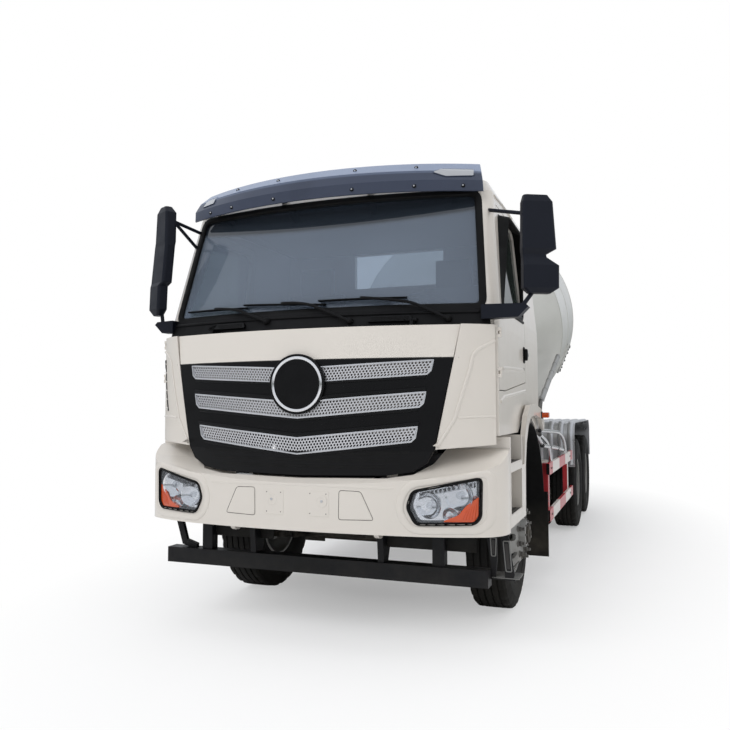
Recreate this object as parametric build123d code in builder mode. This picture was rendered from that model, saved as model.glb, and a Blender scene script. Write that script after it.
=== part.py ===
from build123d import *
from math import cos, radians, sin, sqrt
import os

os.makedirs("parts", exist_ok=True)

# Axes: +X is the truck's left, +Y its rear and +Z up. The truck faces -Y and stands on z = 0.

# Layout along the truck, all in millimetres
FRONT_OVERHANG = 1450.0
WHEELBASE = 4000.0
BOGIE_SPREAD = 1350.0
REAR_OVERHANG = 2350.0
OVERALL_LENGTH = FRONT_OVERHANG + WHEELBASE + BOGIE_SPREAD + REAR_OVERHANG
FRONT = -OVERALL_LENGTH / 2
FRONT_AXLE = FRONT + FRONT_OVERHANG
REAR_AXLE_1 = FRONT_AXLE + WHEELBASE
REAR_AXLE_2 = REAR_AXLE_1 + BOGIE_SPREAD
BOGIE = (REAR_AXLE_1 + REAR_AXLE_2) / 2
BUMPER_BOW = 50.0
CAB = FRONT + BUMPER_BOW

# Fits and gaps
SEAT = 0.3
PANEL_GAP = 6.0
PIN_FIT = 0.3

# Tyres, rims and hubs
TYRE_RADIUS = 540.0
TYRE_WIDTH = 290.0
RIM_RADIUS = 286.0
RIM_WIDTH = 230.0
RIM_WALL = 12.0
DISC_WALL = 16.0
HAND_HOLES = 10
HAND_HOLE_RADIUS = 26.0
HAND_HOLE_CIRCLE = 228.0
SPINDLE_RADIUS = 48.0
FRONT_TRACK_HALF = 966.0
REAR_OUTER_X = 1090.0
REAR_INNER_X = 750.0
AXLE_HEIGHT = TYRE_RADIUS

# Ladder frame
RAIL_OUTER_X = 430.0
RAIL_HEIGHT = 300.0
RAIL_FLANGE = 85.0
RAIL_WALL = 12.0
FRAME_TOP = 1080.0
FRAME_FRONT = CAB + 190.0
FRAME_REAR = FRONT + OVERALL_LENGTH - 1250.0
MIXER = FRAME_REAR - 7850.0
CROSS_MEMBER_RADIUS = 60.0
FRAME_BOTTOM = FRAME_TOP - RAIL_HEIGHT
TOW_JAW_Z = 820.0
TOW_JAW_GAP = 60.0
TOW_JAW_PLATE = 25.0
TOW_JAW_TOP = TOW_JAW_Z + TOW_JAW_GAP + 2 * TOW_JAW_PLATE
TOW_JAW_REACH = 80.0
TOW_BORE_RADIUS = 20.0

# Cab shell
CAB_HALF_WIDTH = 1190.0
CAB_FLOOR = 1290.0
CAB_WAIST = 1960.0
CAB_WALL = 55.0
CAB_BACK = CAB + 2030.0
CAB_FIREWALL = CAB + 232.0
ARCH_RADIUS = 865.0
ARCH_X = 620.0
CAB_TILT_Y = CAB + 90.0
CAB_TILT_Z = 740.0
CAB_TILT_TUBE = 42.0
CAB_ARM_X = 476.0
CAB_ARM_THICK = 30.0

# Doors, each on a vertical hinge at its front outer edge
DOOR_FRONT = CAB + 288.0
DOOR_BACK = CAB + 1345.0
DOOR_TOP = CAB_WAIST + 840.0
DOOR_SILL_FRONT = 1560.0
DOOR_SILL_BACK = 1640.0
DOOR_HINGE_X = CAB_HALF_WIDTH + 12.0
DOOR_HINGE_Y = DOOR_FRONT - 5.0
DOOR_HINGES = (DOOR_SILL_FRONT + 80.0, CAB_WAIST - 80.0)
KNUCKLE_RADIUS = 7.0
KNUCKLE_HEIGHT = 20.0
HINGE_PIN_RADIUS = 3.5
GLASS = 8.0
GLASS_INSET = 14.0

# Front lid with the grille, hinged under the cowl
LID_TOP = CAB_WAIST - 7.0
LID_PANEL_BOTTOM = LID_TOP - 195.0
LID_BOTTOM = LID_TOP - 908.0
LID_HALF_WIDTH = CAB_HALF_WIDTH - 199.0
LID_WALL = 30.0
LID_HINGE_Y = CAB + 110.0
LID_HINGE_Z = LID_TOP + 37.0
LID_HINGE_X = 700.0
LID_LUG = 20.0
LID_LUG_RADIUS = 9.0
LID_PIN_RADIUS = 4.0

# Bumper and under-run bar
BUMPER_HALF_WIDTH = 1240.0
BUMPER_BOTTOM = 712.0
BUMPER_WALL = 40.0
BAR_HALF_LENGTH = 1121.0
BAR_BOTTOM = 396.0
BAR_TOP = 498.0
BAR_DEPTH = 100.0
BAR_FRONT = CAB + 230.0

# Mixing drum
DRUM_RADIUS = 1185.0
DRUM_INCLINE = 12.0
DRUM_CENTRE_Y = MIXER + 5100.0
DRUM_CENTRE_Z = 2530.0
DRUM_WALL = 14.0

SIDES = (("left", 1), ("right", -1))


def level(z):
    """Plane parallel to the ground at height z."""
    return Plane.XY.offset(z)


def across(y):
    """Upright plane across the truck at y, seen from the front, with sketch axes X and Z."""
    return Plane.XZ.offset(-y)


def along(x):
    """Upright plane along the truck at x, with sketch axes Y and Z."""
    return Plane.YZ.offset(x)


def prism(points, plane, depth, grow=0.0, mode=Mode.ADD):
    """Polygon drawn on a plane, grown outwards by grow and carried along the plane's normal."""
    with BuildSketch(plane) as face:
        Polygon(*points, align=None)
        if grow:
            offset(amount=grow, kind=Kind.INTERSECTION, mode=Mode.REPLACE)
    extrude(face.sketch, amount=depth, mode=mode)


def block(x_range, y_range, z_range, mode=Mode.ADD):
    """Box between two corners in the part that is being built."""
    sizes = [high - low for low, high in (x_range, y_range, z_range)]
    middle = [(low + high) / 2 for low, high in (x_range, y_range, z_range)]
    with Locations(tuple(middle)):
        Box(*sizes, mode=mode)


def rod(start, end, radius, mode=Mode.ADD):
    """Round bar from start to end in the part that is being built."""
    axis = Vector(*end) - Vector(*start)
    with BuildSketch(Plane(origin=start, z_dir=axis)) as face:
        Circle(radius)
    extrude(face.sketch, amount=axis.length, mode=mode)


def save(piece, node):
    """Label a finished piece and write it as its own STEP file."""
    piece.label = node
    export_step(piece, f"parts/{node}.step")


# Cab shell: plan sections, each a row of height, half width, front corner x and y, side y and centre y
CAB_SECTIONS = (
    # z, half_width, corner_x, corner_y, side_y, centre_y, back_y
    (CAB_WAIST, CAB_HALF_WIDTH, CAB_HALF_WIDTH - 60.0, 268.0, 350.0, 108.0, 2030.0),
    (CAB_WAIST + 110.0, CAB_HALF_WIDTH - 4.0, CAB_HALF_WIDTH - 70.0, 292.0, 372.0, 132.0, 2030.0),
    (CAB_WAIST + 910.0, CAB_HALF_WIDTH - 82.0, CAB_HALF_WIDTH - 142.0, 520.0, 610.0, 380.0, 2030.0),
    (CAB_WAIST + 1005.0, CAB_HALF_WIDTH - 132.0, CAB_HALF_WIDTH - 205.0, 590.0, 680.0, 470.0, 2005.0),
    (CAB_WAIST + 1055.0, CAB_HALF_WIDTH - 260.0, CAB_HALF_WIDTH - 330.0, 730.0, 810.0, 640.0, 1930.0),
)


def plan_section(z, half_width, corner_x, corner_y, side_y, centre_y, back_y, inset=0.0):
    """Cab outline at one height: straight sides, a bowed front and rounded front corners."""
    w = half_width - inset
    cx, cy = corner_x - inset * 0.8, CAB + corner_y + inset
    side, centre, back = CAB + side_y + inset, CAB + centre_y + inset, CAB + back_y - inset
    mid = (cx + (w - cx) * 0.66, cy + (side - cy) * 0.36)
    with BuildSketch(level(z)) as section:
        with BuildLine():
            Line((w, back), (-w, back))
            Line((-w, back), (-w, side))
            ThreePointArc((-w, side), (-mid[0], mid[1]), (-cx, cy))
            ThreePointArc((-cx, cy), (0, centre), (cx, cy))
            ThreePointArc((cx, cy), mid, (w, side))
            Line((w, side), (w, back))
        make_face()
    return section.sketch


def cab_upper(inset, mode=Mode.ADD):
    """Upper body from the waist to the roof, drawn in by inset."""
    sections = []
    for section in CAB_SECTIONS:
        drop = inset if section is CAB_SECTIONS[-1] else 0.0
        sections.append(plan_section(section[0] - drop, *section[1:], inset=inset))
    loft(sections, ruled=True, mode=mode)


def cab_lower(inset, mode=Mode.ADD):
    """Lower body from the floor to the waist, with its flat firewall, drawn in by inset."""
    w, front, back = CAB_HALF_WIDTH - inset, CAB_FIREWALL + inset, CAB_BACK - inset
    corner = (CAB_HALF_WIDTH - 150.0 - inset * 0.4, w)
    prism([(-corner[0], front), (corner[0], front), (corner[1], front + 40.0), (w, back), (-w, back),
           (-corner[1], front + 40.0)], level(CAB_FLOOR), CAB_WAIST - CAB_FLOOR, mode=mode)


DOOR_OUTLINE = (
    # y from CAB, z
    (288.0, DOOR_SILL_FRONT), (288.0, CAB_WAIST + 25.0), (378.0, CAB_WAIST + 130.0), (650.0, DOOR_TOP),
    (1290.0, DOOR_TOP), (1345.0, DOOR_TOP - 60.0), (1345.0, DOOR_SILL_BACK),
    (490.0, DOOR_SILL_FRONT),
)
DOOR_WINDOW = (
    (446.0, CAB_WAIST + 135.0), (690.0, DOOR_TOP - 65.0), (1240.0, DOOR_TOP - 65.0),
    (1280.0, DOOR_TOP - 105.0),
    (1280.0, CAB_WAIST + 135.0),
)
WINDSCREEN = (
    # x, z
    (105.0 - CAB_HALF_WIDTH, CAB_WAIST + 115.0), (178.0 - CAB_HALF_WIDTH, CAB_WAIST + 885.0),
    (CAB_HALF_WIDTH - 178.0, CAB_WAIST + 885.0), (CAB_HALF_WIDTH - 105.0, CAB_WAIST + 115.0),
)
REAR_WINDOW = (
    # x, z
    (-410.0, CAB_WAIST + 570.0), (410.0, CAB_WAIST + 570.0), (410.0, CAB_WAIST + 870.0),
    (-410.0, CAB_WAIST + 870.0),
)
BODY_SIDE = CAB_HALF_WIDTH + 110.0


def station(points):
    """Points given from the cab datum, moved to the model's own y."""
    return [(CAB + y, z) for y, z in points]


def side_prism(points, x_from, x_to, grow=0.0, mode=Mode.ADD):
    """Outline in side view, with y from the cab datum, carried from x_from to x_to."""
    prism(station(points), along(x_from), x_to - x_from, grow=grow, mode=mode)


def front_prism(points, y_from, y_to, grow=0.0, mode=Mode.ADD):
    """Outline in front view carried from y_from to y_to, both from the cab datum."""
    prism(points, across(CAB + y_from), -(y_to - y_from), grow=grow, mode=mode)


def hinge_knuckle(side, z, toward, gap=0.0):
    """Door hinge knuckle with its leaf, reaching to the cab (toward -1) or the door (toward 1)."""
    x, y = side * DOOR_HINGE_X, DOOR_HINGE_Y
    skin = side * (CAB_HALF_WIDTH - 5.0)
    near, far = y + toward * (DOOR_FRONT + PANEL_GAP - DOOR_HINGE_Y), y + toward * 24.0
    if toward < 0:
        near, far = y, y - 13.0
    with BuildSketch(level(z + gap)) as leaf:
        with Locations((x, y)):
            Circle(KNUCKLE_RADIUS)
        Polygon((x + side * 4.0, y), (x + side * 4.0, far), (skin, far), (skin, near),
            (x - side * 4.0, near),
                (x - side * 4.0, y), align=None)
    extrude(leaf.sketch, amount=KNUCKLE_HEIGHT - 2 * gap)


with BuildPart() as cab_shelf:
    extrude(plan_section(*CAB_SECTIONS[0], inset=20.0), amount=CAB_WALL)
    block((-BODY_SIDE, BODY_SIDE), (CAB_FIREWALL + CAB_WALL, CAB_BACK + 10.0),
        (CAB_WAIST - 60.0, CAB_WAIST + 140.0),
          mode=Mode.SUBTRACT)
with BuildPart() as cab_shell:
    cab_upper(0.0)
    cab_lower(0.0)
    cab_upper(CAB_WALL, mode=Mode.SUBTRACT)
    cab_lower(CAB_WALL, mode=Mode.SUBTRACT)
    add(cab_shelf.part)
    block((-CAB_HALF_WIDTH + CAB_WALL / 2, CAB_HALF_WIDTH - CAB_WALL / 2),
          (CAB_FIREWALL + CAB_WALL / 2, CAB_BACK - CAB_WALL / 2), (CAB_FLOOR, CAB_FLOOR + CAB_WALL))
    front_prism(WINDSCREEN, -50.0, 700.0, grow=SEAT, mode=Mode.SUBTRACT)
    front_prism(REAR_WINDOW, 1950.0, 2060.0, grow=SEAT, mode=Mode.SUBTRACT)
    side_prism(DOOR_OUTLINE, -BODY_SIDE, BODY_SIDE, mode=Mode.SUBTRACT)
    for sign in (1, -1):
        with BuildSketch(along(sign * ARCH_X)) as arch_roof:
            with Locations((FRONT_AXLE, AXLE_HEIGHT)):
                Circle(ARCH_RADIUS + CAB_WALL)
            with Locations((FRONT_AXLE, CAB_FLOOR)):
                Rectangle(2000.0, 600.0, align=(Align.CENTER, Align.MIN), mode=Mode.INTERSECT)
        extrude(arch_roof.sketch, amount=sign * (CAB_HALF_WIDTH - ARCH_X))
        with BuildSketch(along(sign * (ARCH_X + CAB_WALL))) as arch_room:
            with Locations((FRONT_AXLE, AXLE_HEIGHT)):
                Circle(ARCH_RADIUS)
        extrude(arch_room.sketch, amount=sign * 700.0, mode=Mode.SUBTRACT)
    for sign in (1, -1):
        x = sign * (CAB_ARM_X + CAB_ARM_THICK / 2)
        with BuildSketch(along(x - CAB_ARM_THICK / 2)) as arm:
            with Locations((CAB_TILT_Y, CAB_TILT_Z)):
                Circle(CAB_TILT_TUBE + 24.0)
            Polygon((CAB_TILT_Y, CAB_TILT_Z + 64.0), (CAB_TILT_Y + 60.0, CAB_TILT_Z - 26.0),
                    (CAB_TILT_Y + 560.0, CAB_FLOOR + 20.0), (CAB_TILT_Y + 430.0, CAB_FLOOR + 20.0),
                    align=None)
            with Locations((CAB_TILT_Y, CAB_TILT_Z)):
                Circle(CAB_TILT_TUBE + PIN_FIT, mode=Mode.SUBTRACT)
        extrude(arm.sketch, amount=CAB_ARM_THICK)
        for z in DOOR_HINGES:
            hinge_knuckle(sign, z, toward=-1)
            hinge_knuckle(sign, z + 2 * KNUCKLE_HEIGHT, toward=-1)
            rod((sign * DOOR_HINGE_X, DOOR_HINGE_Y, z),
                (sign * DOOR_HINGE_X, DOOR_HINGE_Y, z + 3 * KNUCKLE_HEIGHT),
                HINGE_PIN_RADIUS)
save(cab_shell.part, "cab_shell")


def mirrored(piece):
    """The same piece on the other side of the truck."""
    return mirror(piece, about=Plane.YZ)


def save_pair(piece, node):
    """Write a left piece and its mirror image on the right as two nodes."""
    save(piece, f"{node}_left")
    save(mirrored(piece), f"{node}_right")


def bowed_section(z, half_width, edge_y, centre_y, wall):
    """Curved strip in plan at one height, its front face bowed forward at the middle."""
    edge, centre = CAB + edge_y, CAB + centre_y
    with BuildSketch(level(z)) as section:
        with BuildLine():
            ThreePointArc((-half_width, edge), (0, centre), (half_width, edge))
            Line((half_width, edge), (half_width, edge + wall))
            ThreePointArc((half_width, edge + wall), (0, centre + wall), (-half_width, edge + wall))
            Line((-half_width, edge + wall), (-half_width, edge))
        make_face()
    return section.sketch


def bowed_sheet(rows, wall, setback=0.0, mode=Mode.ADD):
    """Sheet with a ruled face through rows of height, half width, edge y and centre y."""
    sections = [bowed_section(z, w, edge + setback, centre + setback, wall) for z, w, edge, centre in rows]
    loft(sections, ruled=True, mode=mode)


# Windscreen and rear window
with BuildPart() as windscreen:
    cab_upper(GLASS_INSET)
    cab_upper(GLASS_INSET + GLASS, mode=Mode.SUBTRACT)
    front_prism(WINDSCREEN, -50.0, 700.0, mode=Mode.INTERSECT)
with BuildPart() as cab_glass:
    add(windscreen.part)
    front_prism(REAR_WINDOW, 2030.0 - GLASS_INSET - GLASS, 2030.0 - GLASS_INSET)
save(cab_glass.part, "cab_glass")

# Doors with their glass
DOOR_INNER_X = CAB_HALF_WIDTH - 190.0
with BuildPart() as door:
    cab_upper(0.0)
    cab_lower(0.0)
    cab_upper(CAB_WALL, mode=Mode.SUBTRACT)
    cab_lower(CAB_WALL, mode=Mode.SUBTRACT)
    side_prism(DOOR_OUTLINE, DOOR_INNER_X, BODY_SIDE, grow=-PANEL_GAP, mode=Mode.INTERSECT)
    side_prism(DOOR_WINDOW, DOOR_INNER_X, BODY_SIDE, mode=Mode.SUBTRACT)
    block((DOOR_INNER_X - 10.0, CAB_HALF_WIDTH - 75.0), (DOOR_FRONT - 10.0, DOOR_FRONT + 60.0),
          (CAB_WAIST - 20.0, CAB_WAIST + 100.0), mode=Mode.SUBTRACT)
    for z in DOOR_HINGES:
        hinge_knuckle(1, z + KNUCKLE_HEIGHT, toward=1, gap=SEAT)
        rod((DOOR_HINGE_X, DOOR_HINGE_Y, z), (DOOR_HINGE_X, DOOR_HINGE_Y, z + 3 * KNUCKLE_HEIGHT),
            HINGE_PIN_RADIUS + PIN_FIT, mode=Mode.SUBTRACT)
save_pair(door.part, "door")
with BuildPart() as door_glass:
    cab_upper(GLASS_INSET)
    cab_upper(GLASS_INSET + GLASS, mode=Mode.SUBTRACT)
    side_prism(DOOR_WINDOW, DOOR_INNER_X, BODY_SIDE, grow=-SEAT, mode=Mode.INTERSECT)
save_pair(door_glass.part, "door_glass")

# Cowl below the windscreen
COWL_SECTIONS = (
    # z, half_width, corner_x, corner_y, side_y, centre_y, back_y
    (LID_TOP + 9.0, CAB_HALF_WIDTH - 40.0, CAB_HALF_WIDTH - 90.0, 222.0, 300.0, 56.0, 420.0),
    (CAB_WAIST + 112.0, CAB_HALF_WIDTH - 50.0, CAB_HALF_WIDTH - 85.0, 270.0, 340.0, 112.0, 420.0),
)
with BuildPart() as cowl:
    loft([plan_section(*row) for row in COWL_SECTIONS], ruled=True)
    cab_upper(0.0, mode=Mode.SUBTRACT)
    block((-CAB_HALF_WIDTH, CAB_HALF_WIDTH), (CAB + 360.0, CAB + 460.0),
        (CAB_WAIST - 60.0, CAB_WAIST + 140.0),
          mode=Mode.SUBTRACT)
    for x in (-LID_HINGE_X, LID_HINGE_X):
        for lug_x in (x - 1.5 * LID_LUG, x + 0.5 * LID_LUG):
            block((lug_x, lug_x + LID_LUG), (LID_HINGE_Y, LID_HINGE_Y + 42.0),
                  (LID_HINGE_Z - LID_LUG_RADIUS, LID_HINGE_Z + LID_LUG_RADIUS))
            rod((lug_x, LID_HINGE_Y, LID_HINGE_Z), (lug_x + LID_LUG, LID_HINGE_Y, LID_HINGE_Z),
                LID_LUG_RADIUS)
        rod((x - 1.4 * LID_LUG, LID_HINGE_Y, LID_HINGE_Z), (x + 1.4 * LID_LUG, LID_HINGE_Y, LID_HINGE_Z),
            LID_PIN_RADIUS)
save(cowl.part, "cowl")

# Sun visor over the windscreen, on four stays
VISOR_ROWS = (
    # z, half_width, edge_y, centre_y
    (CAB_WAIST + 876.0, CAB_HALF_WIDTH - 114.0, 443.0, 205.0),
    (CAB_WAIST + 945.0, CAB_HALF_WIDTH - 118.0, 440.0, 190.0),
    (CAB_WAIST + 1015.0, CAB_HALF_WIDTH - 134.0, 480.0, 214.0),
    (CAB_WAIST + 1097.0, CAB_HALF_WIDTH - 162.0, 575.0, 330.0),
)
VISOR_WALL = 14.0
VISOR_STAYS = (-900.0, -320.0, 320.0, 900.0)
with BuildPart() as visor_tool:
    bowed_sheet(VISOR_ROWS, 400.0)
with BuildPart() as sun_visor:
    for x in VISOR_STAYS:
        block((x - 20.0, x + 20.0), (CAB + 150.0, CAB + 560.0), (CAB_WAIST + 930.0, CAB_WAIST + 970.0))
    add(visor_tool.part, mode=Mode.INTERSECT)
    cab_upper(0.0, mode=Mode.SUBTRACT)
    block((-BODY_SIDE, BODY_SIDE), (CAB + 620.0, CAB + 800.0), (CAB_WAIST + 840.0, CAB_WAIST + 1140.0),
          mode=Mode.SUBTRACT)
    bowed_sheet(VISOR_ROWS, VISOR_WALL)
save(sun_visor.part, "sun_visor")

# Front lid: painted panel, black grille surround, mesh strips and round badge
LID_ROWS = (
    # z, half_width, edge_y, centre_y
    (LID_BOTTOM - 5.0, LID_HALF_WIDTH + 9.0, 126.0, -12.0),
    (LID_BOTTOM + 155.0, LID_HALF_WIDTH + 9.0, 108.0, -30.0),
    (LID_BOTTOM + 305.0, LID_HALF_WIDTH + 9.0, 106.0, -32.0),
    (LID_BOTTOM + 510.0, LID_HALF_WIDTH + 9.0, 110.0, -28.0),
    (LID_PANEL_BOTTOM, LID_HALF_WIDTH + 9.0, 123.0, -15.0),
    (LID_TOP, LID_HALF_WIDTH + 9.0, 143.0, 5.0),
)
LID_OUTLINE = (
    # x, z
    (LID_HALF_WIDTH, LID_TOP), (LID_HALF_WIDTH - 37.0, LID_PANEL_BOTTOM),
    (LID_HALF_WIDTH - 148.0, LID_BOTTOM + 166.0),
    (LID_HALF_WIDTH - 191.0, LID_BOTTOM + 87.0), (LID_HALF_WIDTH - 278.0, LID_BOTTOM + 33.0),
    (LID_HALF_WIDTH - 431.0, LID_BOTTOM + 11.0), (0.0, LID_BOTTOM),
)
LID_PANEL = (
    # x, z
    (-LID_HALF_WIDTH, LID_TOP), (LID_HALF_WIDTH, LID_TOP), (LID_HALF_WIDTH - 37.0, LID_PANEL_BOTTOM),
    (37.0 - LID_HALF_WIDTH, LID_PANEL_BOTTOM),
)


def both_halves(points):
    """Right-hand outline points followed by their mirror images."""
    return list(points) + [(-x, z) for x, z in reversed(points) if x]


BADGE_Z = LID_TOP - 348.0
BADGE_RADIUS = 186.0
with BuildPart() as front_lid:
    bowed_sheet(LID_ROWS, LID_WALL)
    front_prism(LID_PANEL, -100.0, 300.0, mode=Mode.INTERSECT)
    with BuildSketch(across(CAB - 100.0)) as badge_room:
        with Locations((0, BADGE_Z)):
            Circle(BADGE_RADIUS + SEAT)
    extrude(badge_room.sketch, amount=-200.0, mode=Mode.SUBTRACT)
    for x in (-LID_HINGE_X, LID_HINGE_X):
        low, high = x - LID_LUG / 2 + SEAT, x + LID_LUG / 2 - SEAT
        prism([(LID_HINGE_Y - 32.0, LID_TOP - 12.0), (LID_HINGE_Y - 12.0, LID_TOP - 12.0),
               (LID_HINGE_Y + 8.0, LID_HINGE_Z), (LID_HINGE_Y - 8.0, LID_HINGE_Z + 3.0)], along(low),
                   high - low)
        rod((low, LID_HINGE_Y, LID_HINGE_Z), (high, LID_HINGE_Y, LID_HINGE_Z), LID_LUG_RADIUS)
        rod((low - 1.0, LID_HINGE_Y, LID_HINGE_Z), (high + 1.0, LID_HINGE_Y, LID_HINGE_Z),
            LID_PIN_RADIUS + PIN_FIT, mode=Mode.SUBTRACT)
save(front_lid.part, "front_lid")

STRIPS = (
    # outer x at the top, outer z at the top, outer height, middle height, droop at the middle
    (LID_HALF_WIDTH - 146.0, LID_TOP - 208.0, 92.0, 100.0, 40.0),
    (LID_HALF_WIDTH - 188.0, LID_TOP - 398.0, 96.0, 105.0, 58.0),
    (LID_HALF_WIDTH - 237.0, LID_TOP - 603.0, 96.0, 106.0, 72.0),
)
STRIP_DEPTH = 12.0
STRIP_SLANT = 24.0


def strip_outline(x, z, outer, middle, droop):
    """Drooping strip outline in front view."""
    half = [(x, z), (x - STRIP_SLANT * 0.6, z - outer * 0.72), (x - STRIP_SLANT * 1.8, z - outer),
            (0.0, z - droop - middle)]
    return half + [(-px, pz) for px, pz in reversed(half[:-1])] + [(0.0, z - droop)]


with BuildPart() as grille_surround:
    bowed_sheet(LID_ROWS, LID_WALL)
    front_prism(both_halves(LID_OUTLINE), -100.0, 300.0, mode=Mode.INTERSECT)
    front_prism(LID_PANEL, -100.0, 300.0, mode=Mode.SUBTRACT)
    for strip in STRIPS:
        front_prism(strip_outline(*strip), -100.0, 300.0, mode=Mode.SUBTRACT)
    with BuildSketch(across(CAB - 42.0)) as badge_face:
        with Locations((0, BADGE_Z)):
            Circle(BADGE_RADIUS)
    extrude(badge_face.sketch, amount=-40.0)
save(grille_surround.part, "grille_surround")
with BuildPart() as strip_limits:
    for strip in STRIPS:
        front_prism(strip_outline(*strip), -100.0, 300.0)
with BuildPart() as grille_strips:
    bowed_sheet(LID_ROWS, STRIP_DEPTH, setback=8.0)
    add(strip_limits.part, mode=Mode.INTERSECT)
    with BuildSketch(across(CAB - 42.0)) as badge_clear:
        with Locations((0, BADGE_Z)):
            Circle(BADGE_RADIUS)
    extrude(badge_clear.sketch, amount=-100.0, mode=Mode.SUBTRACT)
save(grille_strips.part, "grille_strips")

# Corner panels between the lid and the doors
CORNER_WALL = 28.0
CORNER_OUTLINE = (
    # x, z
    (LID_HALF_WIDTH + 6.0, LID_TOP + 2.0), (LID_HALF_WIDTH - 31.0, LID_PANEL_BOTTOM),
    (LID_HALF_WIDTH - 142.0, LID_BOTTOM + 167.0), (CAB_HALF_WIDTH + 10.0, LID_BOTTOM + 195.0),
    (CAB_HALF_WIDTH + 10.0, LID_TOP + 2.0),
)
CORNER_PLAN = (
    # x, y from CAB
    (LID_HALF_WIDTH - 171.0, 70.0), (LID_HALF_WIDTH + 19.0, 130.0), (LID_HALF_WIDTH + 185.0, 250.0),
)
with BuildPart() as corner_panel:
    inner, middle, outer = [(x, CAB + y) for x, y in CORNER_PLAN]
    back_inner = (inner[0], inner[1] + CORNER_WALL)
    back_middle = (middle[0] - 12.0, middle[1] + CORNER_WALL)
    back_outer = (outer[0] - 24.0, outer[1] + CORNER_WALL * 0.3)
    with BuildSketch(level(LID_BOTTOM + 155.0)) as corner_plan:
        with BuildLine():
            ThreePointArc(inner, middle, outer)
            Line(outer, back_outer)
            ThreePointArc(back_outer, back_middle, back_inner)
            Line(back_inner, inner)
        make_face()
    extrude(corner_plan.sketch, amount=800.0)
    front_prism(CORNER_OUTLINE, 0.0, 400.0, mode=Mode.INTERSECT)
with BuildPart() as corner_panels:
    add(corner_panel.part)
    add(mirrored(corner_panel.part))
    for sign in (1, -1):
        x = sign * (LID_HALF_WIDTH - 1.0)
        z = (CAB_FLOOR + CAB_WAIST) / 2
        block((x - 30.0, x + 30.0), (CAB + 150.0, CAB_FIREWALL), (z - 30.0, z + 30.0))
save(corner_panels.part, "corner_panels")

# Seats, bunk, dashboard and steering wheel inside the cab
FLOOR_TOP = CAB_FLOOR + CAB_WALL
CUSHION_TOP = FLOOR_TOP + 455.0
DRIVER_X = 600.0
with BuildPart() as cab_interior:
    block((180.0 - CAB_HALF_WIDTH, CAB_HALF_WIDTH - 180.0), (CAB_FIREWALL + CAB_WALL, CAB + 640.0),
          (CAB_WAIST - 220.0, CAB_WAIST - 10.0))
    for sign in (1, -1):
        x = sign * DRIVER_X
        block((x - 250.0, x + 250.0), (CAB + 1000.0, CAB + 1480.0), (CUSHION_TOP - 150.0, CUSHION_TOP))
        block((sign * 480.0 - 120.0, sign * 480.0 + 120.0), (CAB + 1040.0, CAB + 1440.0),
              (FLOOR_TOP, CUSHION_TOP - 140.0))
        prism([(CAB + 1400.0, CUSHION_TOP), (CAB + 1500.0, CUSHION_TOP - 20.0),
            (CAB + 1640.0, CAB_WAIST + 460.0),
               (CAB + 1540.0, CAB_WAIST + 460.0)], along(x - 240.0), 480.0)
        block((x - 140.0, x + 140.0), (CAB + 1545.0, CAB + 1630.0), (CAB_WAIST + 450.0, CAB_WAIST + 680.0))
    block((110.0 - CAB_HALF_WIDTH, CAB_HALF_WIDTH - 110.0), (CAB + 1650.0, CAB_BACK - CAB_WALL),
          (FLOOR_TOP + 155.0, FLOOR_TOP + 505.0))
    block((-600.0, 600.0), (CAB + 1700.0, CAB_BACK - CAB_WALL), (FLOOR_TOP, FLOOR_TOP + 165.0))
    rod((DRIVER_X, CAB + 600.0, CAB_WAIST - 110.0), (DRIVER_X, CAB + 800.0, CAB_WAIST + 100.0), 28.0)
    with BuildSketch(Plane(origin=(DRIVER_X, CAB + 800.0, CAB_WAIST + 100.0),
        z_dir=(0, 200, 210))) as wheel_ring:
        Circle(235.0)
        Circle(200.0, mode=Mode.SUBTRACT)
        Rectangle(440.0, 50.0)
    extrude(wheel_ring.sketch, amount=30.0)
save(cab_interior.part, "cab_interior")


# Mirrors on the cab's front pillars. Each head is turned outwards and follows rows of sections
MIRROR_TURN = 28.0
MIRROR_DEPTH = 78.0
MIRROR_CORNER = 20.0
LEFT_MIRROR_Y = CAB + 300.0
RIGHT_MIRROR_Y = CAB + 250.0
LEFT_MIRROR = (
    # z, middle x, width, share of the full depth
    (CAB_WAIST + 175.0, CAB_HALF_WIDTH + 240.0, 140.0, 0.7),
    (CAB_WAIST + 205.0, CAB_HALF_WIDTH + 248.0, 218.0, 1.0),
    (CAB_WAIST + 340.0, CAB_HALF_WIDTH + 250.0, 220.0, 1.0),
    (CAB_WAIST + 392.0, CAB_HALF_WIDTH + 214.0, 146.0, 0.9),
    (CAB_WAIST + 408.0, CAB_HALF_WIDTH + 212.0, 146.0, 0.9),
    (CAB_WAIST + 440.0, CAB_HALF_WIDTH + 240.0, 210.0, 1.0),
    (CAB_WAIST + 725.0, CAB_HALF_WIDTH + 234.0, 186.0, 1.0),
    (CAB_WAIST + 768.0, CAB_HALF_WIDTH + 226.0, 150.0, 0.7),
)
RIGHT_MIRROR = (
    # z, middle x, width, share of the full depth
    (CAB_WAIST + 160.0, CAB_HALF_WIDTH + 58.0, 70.0, 0.7),
    (CAB_WAIST + 205.0, CAB_HALF_WIDTH + 62.0, 150.0, 1.0),
    (CAB_WAIST + 370.0, CAB_HALF_WIDTH + 56.0, 150.0, 1.0),
    (CAB_WAIST + 395.0, CAB_HALF_WIDTH + 36.0, 196.0, 1.0),
    (CAB_WAIST + 660.0, CAB_HALF_WIDTH + 10.0, 190.0, 1.0),
    (CAB_WAIST + 690.0, CAB_HALF_WIDTH + 4.0, 176.0, 1.1),
    (CAB_WAIST + 900.0, CAB_HALF_WIDTH - 2.0, 160.0, 1.1),
    (CAB_WAIST + 945.0, CAB_HALF_WIDTH + 2.0, 100.0, 0.7),
)
LEFT_BASE_REACH = 190.0
RIGHT_BASE_REACH = 60.0


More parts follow.
